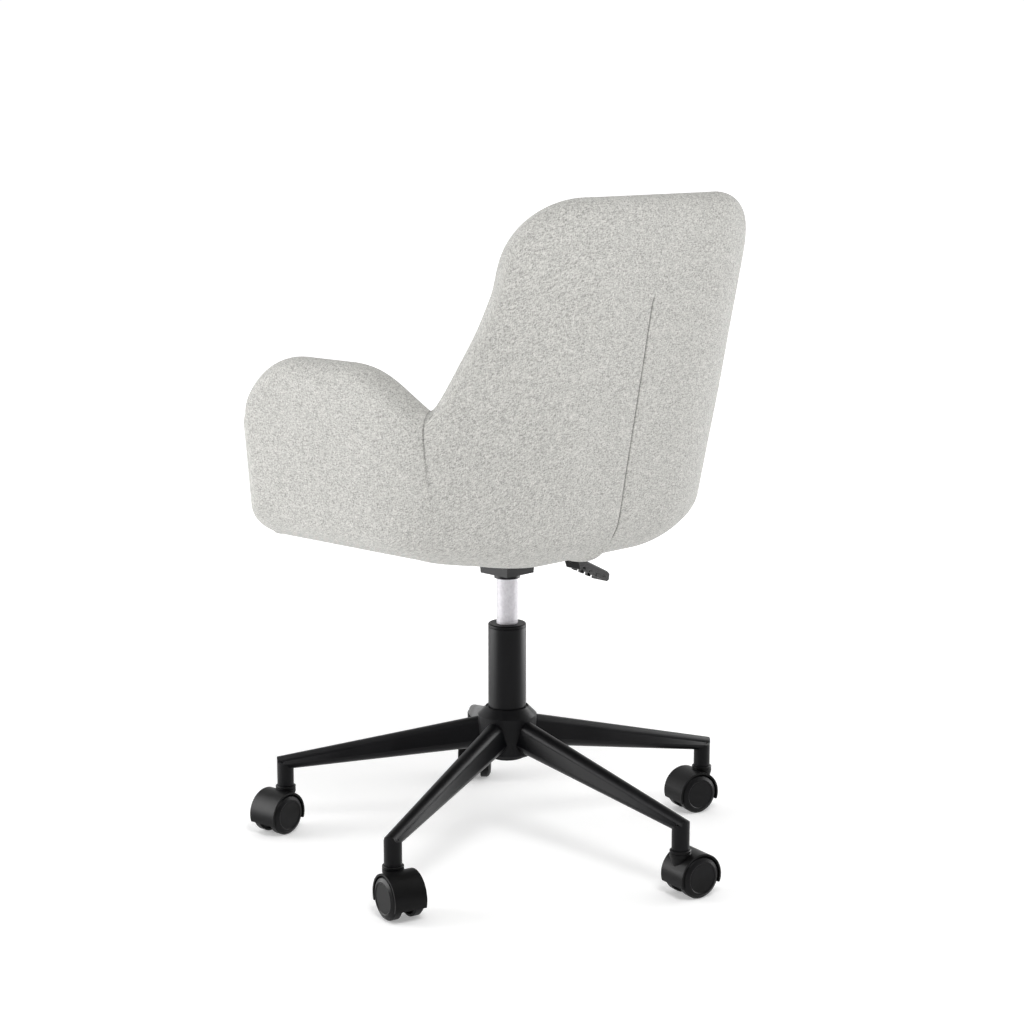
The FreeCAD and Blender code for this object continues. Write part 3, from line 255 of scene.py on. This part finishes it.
FABRIC_WOVEN = heathered_fabric("heathered_fabric", "UV")
FABRIC_CUSHION = heathered_fabric("heathered_fabric_cushion", "Object")
SLOT_MATERIALS = {
    "black_steel": powder_coat(),
    "zinc_steel": zinc_tube(),
    "bright_steel": plain_steel("plain_steel", (0.62, 0.62, 0.64), 0.22),
    "brass_cage": plain_steel("pressed_brass", (0.80, 0.60, 0.26), 0.24),
    "black_nylon": moulded_plastic("black_nylon", 0.0032, 0.0055, 0.34, 0.46, 1100),
    "wheel_nylon": moulded_plastic("wheel_nylon", 0.0055, 0.009, 0.30, 0.42, 700),
    "rubber": rubber(),
    "plywood": plywood(),
    "fabric": FABRIC_CUSHION,
    "dust_cloth": dust_cloth(),
}

# ---------------------------------------------------------------- shape of the tub

# Its plan at LEAN_HEIGHT: a flat back, two round corners and two splayed arms.
HALF_WIDTH = 279.6 * MM
BACK_FLAT = 80.4 * MM
CORNER = HALF_WIDTH - BACK_FLAT
BACK_DEPTH = 224.7 * MM
ARM_FRONT = 197.6 * MM
SPLAY = math.radians(2.7)
FULL_TURN = math.pi / 2 - SPLAY
CORNER_END = BACK_FLAT + CORNER * FULL_TURN
ARM_LENGTH = CORNER_END + (BACK_DEPTH - CORNER * (1 - math.sin(SPLAY)) + ARM_FRONT) / math.cos(SPLAY)

# How its walls lean out, as a shift for each unit of height.
LEAN_HEIGHT = 600 * MM
BACK_LEAN = 0.188
SIDE_TUCK = 18.5 / 200
SIDE_FLARE = 32 / 260
CORNER_TUCK = 6.5 / 200

# The line of its upper edge: the back, the fall to the valley, and the arm.
BACK_TOP = 862.4 * MM
BACK_TOP_HALF = 210 * MM
BACK_CORNER = 98 * MM
EDGE_END = 356.8 * MM
EDGE_LOW = 575 * MM
EDGE_POWER = 2.12
ARM_TOP = 663 * MM
ARM_DIP = 3.9
ARM_DIP_END = 170 * MM
VALLEY_BLEND = 6 * MM

# Its foot, the bowl that rises from it, and the rounding of the arm fronts.
LOW = 404.5 * MM
LIP = 4 * MM
BOWL = 60 * MM
SIDE_BOWL = 168 * MM
BACK_BOWL = 66.5 * MM
INNER_FOOT = LOW + 37 * MM
NOSE_HIGH = 115.5 * MM
NOSE_LOW = 21.5 * MM
THICK = 54 * MM
HALF_THICK = THICK / 2

# Rows of mesh up one section.
LIP_ROWS = 3
BOWL_ROWS = 16
WALL_ROWS = 64
RIM_ROWS = 18


def clamp(value, most=1):
    """A value kept between 0 and a most."""
    return min(max(value, 0), most)


def fade(value, start, end):
    """0 before a start, 1 past an end, and a smooth step between."""
    step = clamp((value - start) / (end - start))
    return step * step * (3 - 2 * step)


def plan(along):
    """Plan of the tub's outside at a distance along it: x, y and the outward direction."""
    side, along = (1 if along >= 0 else -1), abs(along)
    turn = clamp((along - BACK_FLAT) / CORNER, FULL_TURN)
    past = max(along - CORNER_END, 0)
    x = min(along, BACK_FLAT) + CORNER * math.sin(turn) + past * math.sin(SPLAY)
    y = BACK_DEPTH - CORNER * (1 - math.cos(turn)) - past * math.cos(SPLAY)
    return side * x, y, side * math.sin(turn), math.cos(turn)


def wall_point(along, inset, height):
    """A point of the padded wall: an inset from the outside at a height."""
    x, y, out_x, out_y = plan(along)
    rise = height - LEAN_HEIGHT
    sideways = (SIDE_TUCK if rise < 0 else SIDE_FLARE) * rise
    corner = CORNER_TUCK * min(rise, 0) * (2 * out_x * out_y) ** 2
    shift = out_y ** 2 * BACK_LEAN * rise + out_x ** 2 * sideways + corner - inset
    return Vector((x + out_x * shift, y + out_y * shift, height))


def edge_height(along):
    """Height of the padded edge, before an arm's front rounds it off."""
    along = abs(along)
    step = clamp((along - BACK_TOP_HALF + BACK_CORNER) / BACK_CORNER)
    back = BACK_TOP - BACK_CORNER * (1 - math.sqrt(1 - step * step))
    if along > BACK_TOP_HALF:
        left = max(1 - (along - BACK_TOP_HALF) / (EDGE_END - BACK_TOP_HALF), 0)
        back = EDGE_LOW + (BACK_TOP - BACK_CORNER - EDGE_LOW) * left ** EDGE_POWER
    _, y, _, _ = plan(along)
    behind = clamp(y, ARM_DIP_END)
    arm = ARM_TOP - ARM_DIP * behind ** 2
    return (back + arm) / 2 + math.hypot((back - arm) / 2, VALLEY_BLEND)


def round_off(along, radius):
    """How far an arm's front is rounded off, upwards or downwards, by a radius."""
    step = clamp((abs(along) - ARM_LENGTH + radius) / radius)
    return radius * (1 - math.sqrt(1 - step * step))


def bowl_reach(along):
    """How far the bottom runs inwards under the wall."""
    _, _, out_x, out_y = plan(along)
    return SIDE_BOWL * out_x ** 2 + BACK_BOWL * out_y ** 2


# ---------------------------------------------------------------- seams

SEAM_TOP = 746 * MM
SEAM_RUN_OUT = 14 * MM
FOOT_START, FOOT_END = LOW + 4 * MM, LOW + 40 * MM
DART_AT = 298 * MM
DART_LEVEL = 580 * MM
DART_CURVE = 1.3
DART_START, DART_FULL = LOW + 84 * MM, LOW + 124 * MM

# Depth and width of the sharp crease of each seam, and of the soft dent round it.
BACK_DENTS = ((2.6 * MM, 1.2 * MM), (1.3 * MM, 9 * MM))
DART_DENTS = ((1.4 * MM, 1.1 * MM), (1.2 * MM, 10 * MM))


def dart_line(height):
    """Where the side seam runs, as a distance along the tub at a height."""
    return DART_AT - DART_CURVE * (height - DART_LEVEL) ** 2


def seam_dent(away, depth, width):
    """A rounded dip of a depth and a width, at a distance from its middle."""
    return depth * math.exp(-(away / width) ** 2)


def seam_runs(along, height, outer):
    """How strongly each seam is drawn at a place, with the distance to it: the back seam, the side seams."""
    back = 1 - fade(height, SEAM_TOP - SEAM_RUN_OUT, SEAM_TOP) if outer else 0.0
    side = fade(height, DART_START, DART_FULL)
    return (back, along), (side, abs(along) - dart_line(height))


def seam_depth(along, height, outer):
    """How far the seams pull the cloth in: a sharp crease in a soft dent."""
    (back, across), (side, away) = seam_runs(along, height, outer)
    back_depth = sum(seam_dent(across, depth, width) for depth, width in BACK_DENTS)
    side_depth = sum(seam_dent(away, depth, width) for depth, width in DART_DENTS)
    return back * back_depth + side * side_depth


def seam_crease_shade(along, height, outer):
    """How much painted shade lies in the crease of a seam at a place, from 0 to 1. The back seam drifts aside
    at its foot.
    """
    (back, across), (side, away) = seam_runs(along, height, outer)
    drift = 3 * MM * (1 - fade(height, FOOT_START, FOOT_END))
    dart = 0.5 + 0.25 * (1 - fade(height, DART_LEVEL - 90 * MM, DART_LEVEL - 20 * MM))
    return min(1.0, back * seam_dent(across - drift, 1.0, 1.0 * MM) + side * seam_dent(away, dart, 1.1 * MM))


def cloth_swell(spot, seed, amount):
    """Slow unevenness of cloth stretched over foam."""
    shifted = spot * 9 + Vector((seed, seed * 0.7, -seed))
    finer = spot * 24 + Vector((-seed, seed, seed * 0.3))
    return amount * (0.72 * noise.noise(shifted) + 0.28 * noise.noise(finer))


def foot_bunching(along, height):
    """Cloth gathered under the foot of the back seam, folded over from its left side."""
    low_down = 1 - fade(height, FOOT_START, FOOT_END)
    left = seam_dent(along - 6 * MM, 6.5 * MM, 9 * MM) * fade(along, -1.5 * MM, 1.5 * MM)
    right = seam_dent(along + 12 * MM, 1.0 * MM, 9 * MM)
    return low_down * (left + right)


# ---------------------------------------------------------------- meshes


def skin(rings):
    """Vertices and faces of a closed skin through rings that have equally many points."""
    count = len(rings[0])
    faces = []
    for index in range(len(rings) - 1):
        start, end = index * count, (index + 1) * count
        for spot in range(count):
            after = (spot + 1) % count
            faces.append((start + spot, start + after, end + after, end + spot))
    faces.append(tuple(reversed(range(count))))
    faces.append(tuple(range((len(rings) - 1) * count, len(rings) * count)))
    return [spot for ring in rings for spot in ring], faces


def soften(piece):
    """Round a piece's mesh once more when it is shown."""
    smooth = piece.modifiers.new("soften", "SUBSURF")
    smooth.levels = smooth.render_levels = 1


def new_piece(name, vertices, faces, material, body, slot):
    """A smooth-shaded piece that rides on a body."""
    mesh = bpy.data.meshes.new(name)
    mesh.from_pydata(vertices, [], faces)
    mesh.validate()
    for face in mesh.polygons:
        face.use_smooth = True
    piece = bpy.data.objects.new(name, mesh)
    bpy.context.scene.collection.objects.link(piece)
    mesh.materials.append(material)
    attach(piece, body)
    return piece


def column_spots():
    """Distances along the tub for the mesh's columns, dense at the seams and the arm fronts."""
    step, closest = 4.6 * MM, 0.25 * MM
    fine = [0.5, 1.0, 1.6, 2.4, 3.4]
    nose = 14
    straight = ARM_LENGTH - HALF_THICK
    count = round(straight / step)
    spots = {round(straight * index / count, 6) for index in range(count + 1)}
    spots |= {offset * MM for offset in fine}
    spots |= {round(DART_AT + sign * offset * MM, 6) for offset in fine + [0] for sign in (1, -1)}
    spots |= {ARM_LENGTH - HALF_THICK * (1 - math.sin(math.pi / 2 * index / nose)) for index in range(nose)}
    ordered = sorted(spots)
    kept = [ordered[0]]
    for spot in ordered[1:]:
        if spot - kept[-1] > closest:
            kept.append(spot)
    return [-spot for spot in reversed(kept[1:])] + kept


def follow_dart(along, height):
    """Slide a column sideways near the dart so that its fine columns follow the seam."""
    near = 1 - fade(abs(abs(along) - DART_AT), 4 * MM, 70 * MM)
    shift = (dart_line(height) - DART_AT) * near
    return along + math.copysign(shift, along)


def loop_points(along):
    """One upright section of the tub as (inset, height, outer) round its whole edge."""
    top = edge_height(along) - round_off(along, NOSE_HIGH)
    lift = round_off(along, NOSE_LOW)
    # the arm's front narrows like a half round, and stops just short of a line
    past = clamp((abs(along) - ARM_LENGTH + HALF_THICK) / HALF_THICK, 0.9995)
    half = HALF_THICK * math.sqrt(1 - past * past)
    reach, crown = bowl_reach(along), top - half
    bottom = LOW + BOWL
    points = [(reach + LIP * (1 - index / LIP_ROWS), LOW, True) for index in range(LIP_ROWS)]
    for index in range(BOWL_ROWS):
        angle = math.pi / 2 * (1 - index / BOWL_ROWS)
        points.append((reach * (1 - math.cos(angle)), bottom - BOWL * math.sin(angle), True))
    points += [(0, bottom + (crown - bottom) * index / WALL_ROWS, True) for index in range(WALL_ROWS)]
    for index in range(RIM_ROWS + 1):
        angle = math.pi * index / RIM_ROWS
        inset = HALF_THICK - half * math.cos(angle)
        points.append((inset, crown + half * math.sin(angle), index < RIM_ROWS / 2))
    points += [(THICK, crown + (INNER_FOOT - crown) * index / WALL_ROWS, False)
               for index in range(1, WALL_ROWS + 1)]
    shaped = []
    for inset, height, outer in points:
        raised = height + lift * max(0.0, 1 - (height - LOW) / (BOWL + lift))
        if half < HALF_THICK:
            if inset <= THICK:
                inset = HALF_THICK + (inset - HALF_THICK) * half / HALF_THICK
            inset = min(inset, HALF_THICK + half + (inset - HALF_THICK - half) * half / HALF_THICK)
        shaped.append((inset, raised, outer))
    return shaped


def run_lengths(spots):
    """Distance along a line of points, measured from its first one."""
    lengths = [0.0]
    for last, spot in zip(spots, spots[1:]):
        lengths.append(lengths[-1] + (spot - last).length)
    return lengths


def cloth_across(along, inset):
    """Distance along the cloth itself: shorter inside the corners, and carried on round the arm fronts."""
    straight = ARM_LENGTH - HALF_THICK
    past = clamp((abs(along) - straight) / HALF_THICK)
    turned = clamp((abs(along) - BACK_FLAT) / CORNER, FULL_TURN)
    return math.copysign(min(abs(along), straight) + HALF_THICK * math.asin(past) - inset * turned, along)


def rim_tilt(along):
    """Angle at which the tub's edge climbs at a place."""
    step = 1 * MM
    low, high = (edge_height(spot) - round_off(spot, NOSE_HIGH) for spot in (along - step, along + step))
    return math.atan((high - low) / (2 * step))


def lay_section(lengths, sideways, rim, tilt):
    """Cloth coordinates up one section: straight up the wall, then square to the edge over the rim."""
    laid = []
    for length, across in zip(lengths, sideways):
        past = max(length - lengths[rim], 0)
        laid.append((across - past * math.sin(tilt), length - past + past * math.cos(tilt)))
    return laid


def lay_weave(mesh, columns, grid, across_out, across_in, rim, crest):
    """Weave coordinates in metres, laid on the outside and the inside apart and meeting on the rim."""
    outside, inside = [], []
    for along, section, out, within in zip(columns, grid, across_out, across_in):
        tilt = rim_tilt(along)
        outside.append(lay_section(run_lengths(section), out, rim[0], tilt))
        inside.append(lay_section(run_lengths(section[::-1])[::-1], within, rim[1], tilt))
    rows = len(grid[0])
    layer = mesh.uv_layers.new(name="weave")
    for face in mesh.polygons:
        laid = outside if face.index % rows < crest else inside
        for loop in face.loop_indices:
            column, row = divmod(mesh.loops[loop].vertex_index, rows)
            layer.data[loop].uv = laid[column][row]


def make_tub():
    """The padded tub as one closed skin with its seams, and weave coordinates in metres."""
    columns = column_spots()
    grid, across_out, across_in, crease_shades = [], [], [], []
    for along in columns:
        spots, out, within = [], [], []
        section = loop_points(along)
        for inset, height, outer in section:
            here = follow_dart(along, height)
            _, _, out_x, out_y = plan(here)
            outward = Vector((out_x, out_y, 0)) * (1 if outer else -1)
            spot = wall_point(here, inset, height)
            swell = cloth_swell(spot, 3.1 if outer else 8.4, 0.9 * MM)
            spot += outward * (swell - seam_depth(here, height, outer))
            if outer:
                spot += Vector((out_x * 0.9, out_y * 0.9, -0.8)) * foot_bunching(here, height)
            spots.append(spot)
            out.append(cloth_across(here, inset if height < LOW + BOWL else 0))
            within.append(cloth_across(here, THICK))
            crease_shades.append(seam_crease_shade(here, height, outer))
        grid.append(spots)
        across_out.append(out)
        across_in.append(within)
    tub = new_piece("tub_upholstery", *skin(grid), FABRIC_WOVEN, "seat", "fabric")
    crest = sum(1 for _, _, outer in section if outer)
    rim = (crest - RIM_ROWS // 2, crest + RIM_ROWS // 2)
    lay_weave(tub.data, columns, grid, across_out, across_in, rim, crest)
    # painted shade along the seam creases, kept as a point attribute for the fabric
    tub.data.attributes.new("seam", "FLOAT", "POINT").data.foreach_set("value", crease_shades)
    soften(tub)
    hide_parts("tub_padding")


def seat_ring(inset, height, front, front_corner):
    """A closed D-shaped ring round the seat at a height, with its two front corners rounded."""
    around, bend, across = 72, 10, 20
    end = ARM_LENGTH - 50 * MM
    ring = [wall_point(-end + 2 * end * index / (around - 1), inset, height) for index in range(around)]
    right, left = ring[-1].x, ring[0].x

    def corner(x, sign):
        arc = []
        for index in range(bend + 1):
            angle = math.pi / 2 * index / bend
            arc.append(Vector((x - sign * front_corner * (1 - math.cos(angle)),
                               -front + front_corner * (1 - math.sin(angle)), height)))
        return arc

    inner_right, inner_left = right - front_corner, left + front_corner
    line = [Vector((inner_right + (inner_left - inner_right) * index / across, -front, height))
            for index in range(1, across)]
    return ring + corner(right, 1) + line + corner(left, -1)[::-1]


def puff(piece, pressure, cap, pinned):
    """Swell a closed piece with the cloth solver, each point moving at most its cap."""
    steps = 20
    bpy.context.view_layer.objects.active = piece
    remesh = piece.modifiers.new("remesh", "REMESH")
    remesh.mode = "VOXEL"
    remesh.voxel_size = 5 * MM
    bpy.ops.object.modifier_apply(modifier="remesh")
    mesh = piece.data
    rest = np.empty(len(mesh.vertices) * 3)
    mesh.vertices.foreach_get("co", rest)
    rest = rest.reshape(-1, 3)
    hold = np.array([pinned(Vector(spot)) for spot in rest])
    group = piece.vertex_groups.new(name="held")
    for index in np.nonzero(hold > 0)[0]:
        group.add([int(index)], float(hold[index]), "REPLACE")
    cloth = piece.modifiers.new("cloth", "CLOTH")
    cloth.settings.use_pressure = True
    cloth.settings.uniform_pressure_force = pressure
    cloth.settings.effector_weights.gravity = 0
    cloth.settings.vertex_group_mass = "held"
    cloth.settings.quality = 6
    cloth.settings.tension_stiffness = 18
    cloth.settings.compression_stiffness = 18
    cloth.settings.bending_stiffness = 0.6
    cloth.point_cache.frame_start = 1
    cloth.point_cache.frame_end = steps
    scene = bpy.context.scene
    for moment in range(1, steps + 1):
        scene.frame_set(moment)
    solved = piece.evaluated_get(bpy.context.evaluated_depsgraph_get())
    swollen = np.empty(len(mesh.vertices) * 3)
    solved.data.vertices.foreach_get("co", swollen)
    move = swollen.reshape(-1, 3) - rest
    length = np.linalg.norm(move, axis=1, keepdims=True)
    move *= np.minimum(1, cap / np.maximum(length, 1e-9))
    piece.modifiers.remove(cloth)
    scene.frame_set(1)
    mesh.vertices.foreach_set("co", (rest + move).ravel())
    mesh.update()
    piece.vertex_groups.clear()


def make_cushion():
    """The seat cushion: a boxed foam pad, swollen by the cloth solver, with a seam round its top."""
    low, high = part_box("seat_cushion")
    crown, front = high.z, -low.y
    front_corner = 26 * MM
    # height, inset from the tub's outside, and how far back the front stands from that of the CAD cushion
    levels = [(low.z, 80, 22), (low.z + 5 * MM, 62, 11), (low.z + 12 * MM, 57, 6), (low.z + 30 * MM, 57, 5),
              (crown - 22 * MM, 57, 5), (crown - 12 * MM, 60, 7), (crown - 6 * MM, 66, 12)]
    rings = [seat_ring(inset * MM, height, front - back * MM, front_corner) for height, inset, back in levels]
    cushion = new_piece("seat_cushion_cover", *skin(rings), FABRIC_CUSHION, "seat", "fabric")
    held_below, held_behind = low.z + 26 * MM, -180 * MM

    def held(spot):
        return 1.0 if spot.z < held_below and spot.y > held_behind else 0.0

    puff(cushion, 3.0, 8 * MM, held)
    rim = crown - 9 * MM
    ring = seat_ring(60 * MM, rim, 219 * MM, front_corner)
    line = np.array([[spot.x, spot.y] for spot in ring])
    for vertex in cushion.data.vertices:
        spot = vertex.co
        away = np.hypot(line[:, 0] - spot.x, line[:, 1] - spot.y).min()
        near = math.hypot(away, (spot.z - rim) * 0.8)
        if spot.z > rim - 20 * MM:
            inward = Vector((-spot.x, -spot.y, 0)).normalized() * 0.6 + Vector((0, 0, -0.8))
            vertex.co = spot + inward * seam_dent(near, 2.2 * MM, 4.5 * MM)
        vertex.co.z += cloth_swell(spot, 5.5, 1.0 * MM) if spot.z > rim - 5 * MM else 0.0
    soften(cushion)
    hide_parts("seat_cushion")


def make_apron():
    """The upholstered strip under the front of the cushion, rounded like a bolster."""
    low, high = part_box("front_apron")
    columns, around = 90, 28
    squareness, end_rounding = 0.45, 14 * MM
    half, depth = (high.x - low.x) / 2, (high.y - low.y) / 2
    middle_y = (low.y + high.y) / 2
    roof = high.z + 4 * MM
    rings = []
    for column in range(columns + 1):
        x = -half + 2 * half * column / columns
        floor = low.z + 11 * MM * fade(abs(x) / half, 0.35, 1.0)
        tall, centre = (roof - floor) / 2, (roof + floor) / 2
        end = math.sqrt(max(1 - max((abs(x) - half + end_rounding) / end_rounding, 0) ** 2, 0.002))
        ring = []
        for index in range(around):
            angle = 2 * math.pi * index / around
            cosine, sine = math.cos(angle), math.sin(angle)
            # a squarish oval keeps the strip full without hard corners
            out = math.copysign(abs(cosine) ** squareness, cosine) * depth * end
            up = math.copysign(abs(sine) ** squareness, sine) * tall * (0.72 + 0.28 * end)
            spot = Vector((x, middle_y + out, centre + up))
            spot.y += cloth_swell(spot, 2.2, 0.8 * MM)
            ring.append(spot)
        rings.append(ring)
    apron = new_piece("front_apron_cover", *skin(rings), FABRIC_CUSHION, "seat", "fabric")
    soften(apron)
    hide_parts("front_apron")


# ---------------------------------------------------------------- carried-over pieces


def finish_cad_nodes():
    """Give every CAD piece the material of its slot."""
    slot_of = {row["node"]: row["material_slot"] for row in frame["record"]["subparts"]}
    for name, node in frame["nodes"].items():
        node.data.materials.clear()
        node.data.materials.append(SLOT_MATERIALS[slot_of[name]])
        for face in node.data.polygons:
            face.material_index = 0


# ---------------------------------------------------------------- stage, light and camera


def floor_material():
    """Pale floor that lightens away from the chair, so that it meets the backdrop without a line."""
    tree = Tree("pale_floor")
    speck = tree.noise(tree.place("Object"), 3.0, 2.0, 0.5)
    pale = 0.82
    distance = tree.add("ShaderNodeVectorMath", {"operation": "LENGTH"}, Vector=tree.place("Object"))
    glow = tree.spread(distance.outputs["Value"], 0.45, 1.6, 0.30, 0.66)
    return tree.finish(Base_Color=tree.ramp(speck, [(0.2, (pale * 0.985,) * 3), (0.8, (pale,) * 3)]),
                       Roughness=0.9, Specular_IOR_Level=0.0, Emission_Color=(1.0, 1.0, 1.0, 1.0),
                       Emission_Strength=glow)


def backdrop_material():
    """White paper that only the camera sees."""
    tree = Tree("white_backdrop")
    glow = tree.spread(tree.noise(tree.place("Object"), 0.1, 1.0, 0.5), 0.0, 1.0, 1.02, 1.05)
    paper = tree.finish(Base_Color=(0.0, 0.0, 0.0, 1.0), Roughness=1.0, Specular_IOR_Level=0.0,
                        Emission_Color=(1.0, 1.0, 1.0, 1.0), Emission_Strength=glow)
    paper.cycles.emission_sampling = "NONE"
    return paper


def make_stage():
    """A round pale floor, and a white backdrop all round that takes no part in the lighting."""
    bpy.ops.mesh.primitive_circle_add(vertices=128, radius=60, fill_type="NGON", location=(0, 0, 0))
    floor = bpy.context.active_object
    floor.name = "floor"
    floor.data.materials.append(floor_material())
    bpy.ops.mesh.primitive_uv_sphere_add(segments=48, ring_count=24, radius=58, location=(0, 0, 0))
    backdrop = bpy.context.active_object
    backdrop.name = "backdrop"
    backdrop.data.materials.append(backdrop_material())
    backdrop.visible_diffuse = backdrop.visible_glossy = backdrop.visible_shadow = False
    backdrop.visible_transmission = backdrop.visible_volume_scatter = False


def area_light(name, place, target, width, height, power, reflected=True, lights=True):
    """A soft panel aimed at a target. It may be left out of reflections, or only be reflected."""
    light = bpy.data.lights.new(name, "AREA")
    light.shape = "RECTANGLE"
    light.size, light.size_y = width, height
    light.energy = power
    lamp = bpy.data.objects.new(name, light)
    lamp.location = place
    lamp.rotation_euler = (Vector(target) - Vector(place)).to_track_quat("-Z", "Y").to_euler()
    lamp.visible_camera = False
    lamp.visible_glossy = reflected
    lamp.visible_diffuse = lights
    bpy.context.scene.collection.objects.link(lamp)


def make_world():
    """A white studio, a little darker overhead and dark on the side the photograph is taken from."""
    world = bpy.data.worlds.new("studio")
    world.use_nodes = True
    nodes, links = world.node_tree.nodes, world.node_tree.links
    direction = nodes.new("ShaderNodeTexCoord").outputs["Generated"]

    def falling(towards, start, end, least):
        """1 away from a direction, falling to least as it is faced."""
        facing = nodes.new("ShaderNodeVectorMath")
        facing.operation = "DOT_PRODUCT"
        facing.inputs[1].default_value = towards
        links.new(direction, facing.inputs[0])
        span = nodes.new("ShaderNodeMapRange")
        span.inputs["From Min"].default_value = start
        span.inputs["From Max"].default_value = end
        span.inputs["To Min"].default_value = 1.0
        span.inputs["To Max"].default_value = least
        links.new(facing.outputs["Value"], span.inputs["Value"])
        return span.outputs["Result"]

    strength = nodes.new("ShaderNodeMath")
    strength.operation = "MULTIPLY"
    links.new(falling((0, 0, 1), 0.12, 1.0, 0.85), strength.inputs[0])
    links.new(falling((0.707, 0.707, 0), -0.05, 0.6, 0.12), strength.inputs[1])
    links.new(strength.outputs["Value"], nodes["Background"].inputs["Strength"])
    nodes["Background"].inputs["Color"].default_value = (1.02, 1.02, 1.02, 1)
    bpy.context.scene.world = world


def make_lights():
    """Soft panels beside, above and low behind the view, and two cards that only shiny pieces reflect."""
    area_light("left_panel", (1.7, -1.57, 0.75), (0, 0, 0.42), 1.0, 1.7, 27)
    area_light("right_panel", (-1.95, 1.15, 0.7), (0, 0, 0.35), 0.9, 1.5, 7)
    area_light("overhead", (0.9, 1.5, 2.4), (0, 0, 0.4), 0.9, 0.9, 32)
    area_light("low_fill", (1.7, 1.7, 0.12), (0, 0, 0.5), 1.6, 0.2, 9, reflected=False)
    area_light("left_card", (0.64, -0.71, 0.38), (0, 0, 0.3), 1.0, 0.74, 16, lights=False)
    area_light("right_card", (-0.9, 0.31, 0.38), (0, 0, 0.3), 0.8, 0.74, 12, lights=False)


def make_camera():
    """The photograph's view: behind the chair on the sitter's left, a little above the seat."""
    camera = bpy.data.objects.new("camera", bpy.data.cameras.new("camera"))
    camera.location = (1.996, 2.005, 0.975)
    azimuth, elevation = 135, 10.6
    camera.rotation_euler = (math.radians(90 - elevation), 0, math.radians(azimuth))
    camera.data.lens = 77.8
    camera.data.sensor_width = 36
    camera.data.clip_end = 200
    bpy.context.scene.collection.objects.link(camera)
    bpy.context.scene.camera = camera


bpy.context.scene.view_settings.view_transform = "Standard"
finish_cad_nodes()
make_tub()
make_cushion()
make_apron()
make_stage()
make_world()
make_lights()
make_camera()
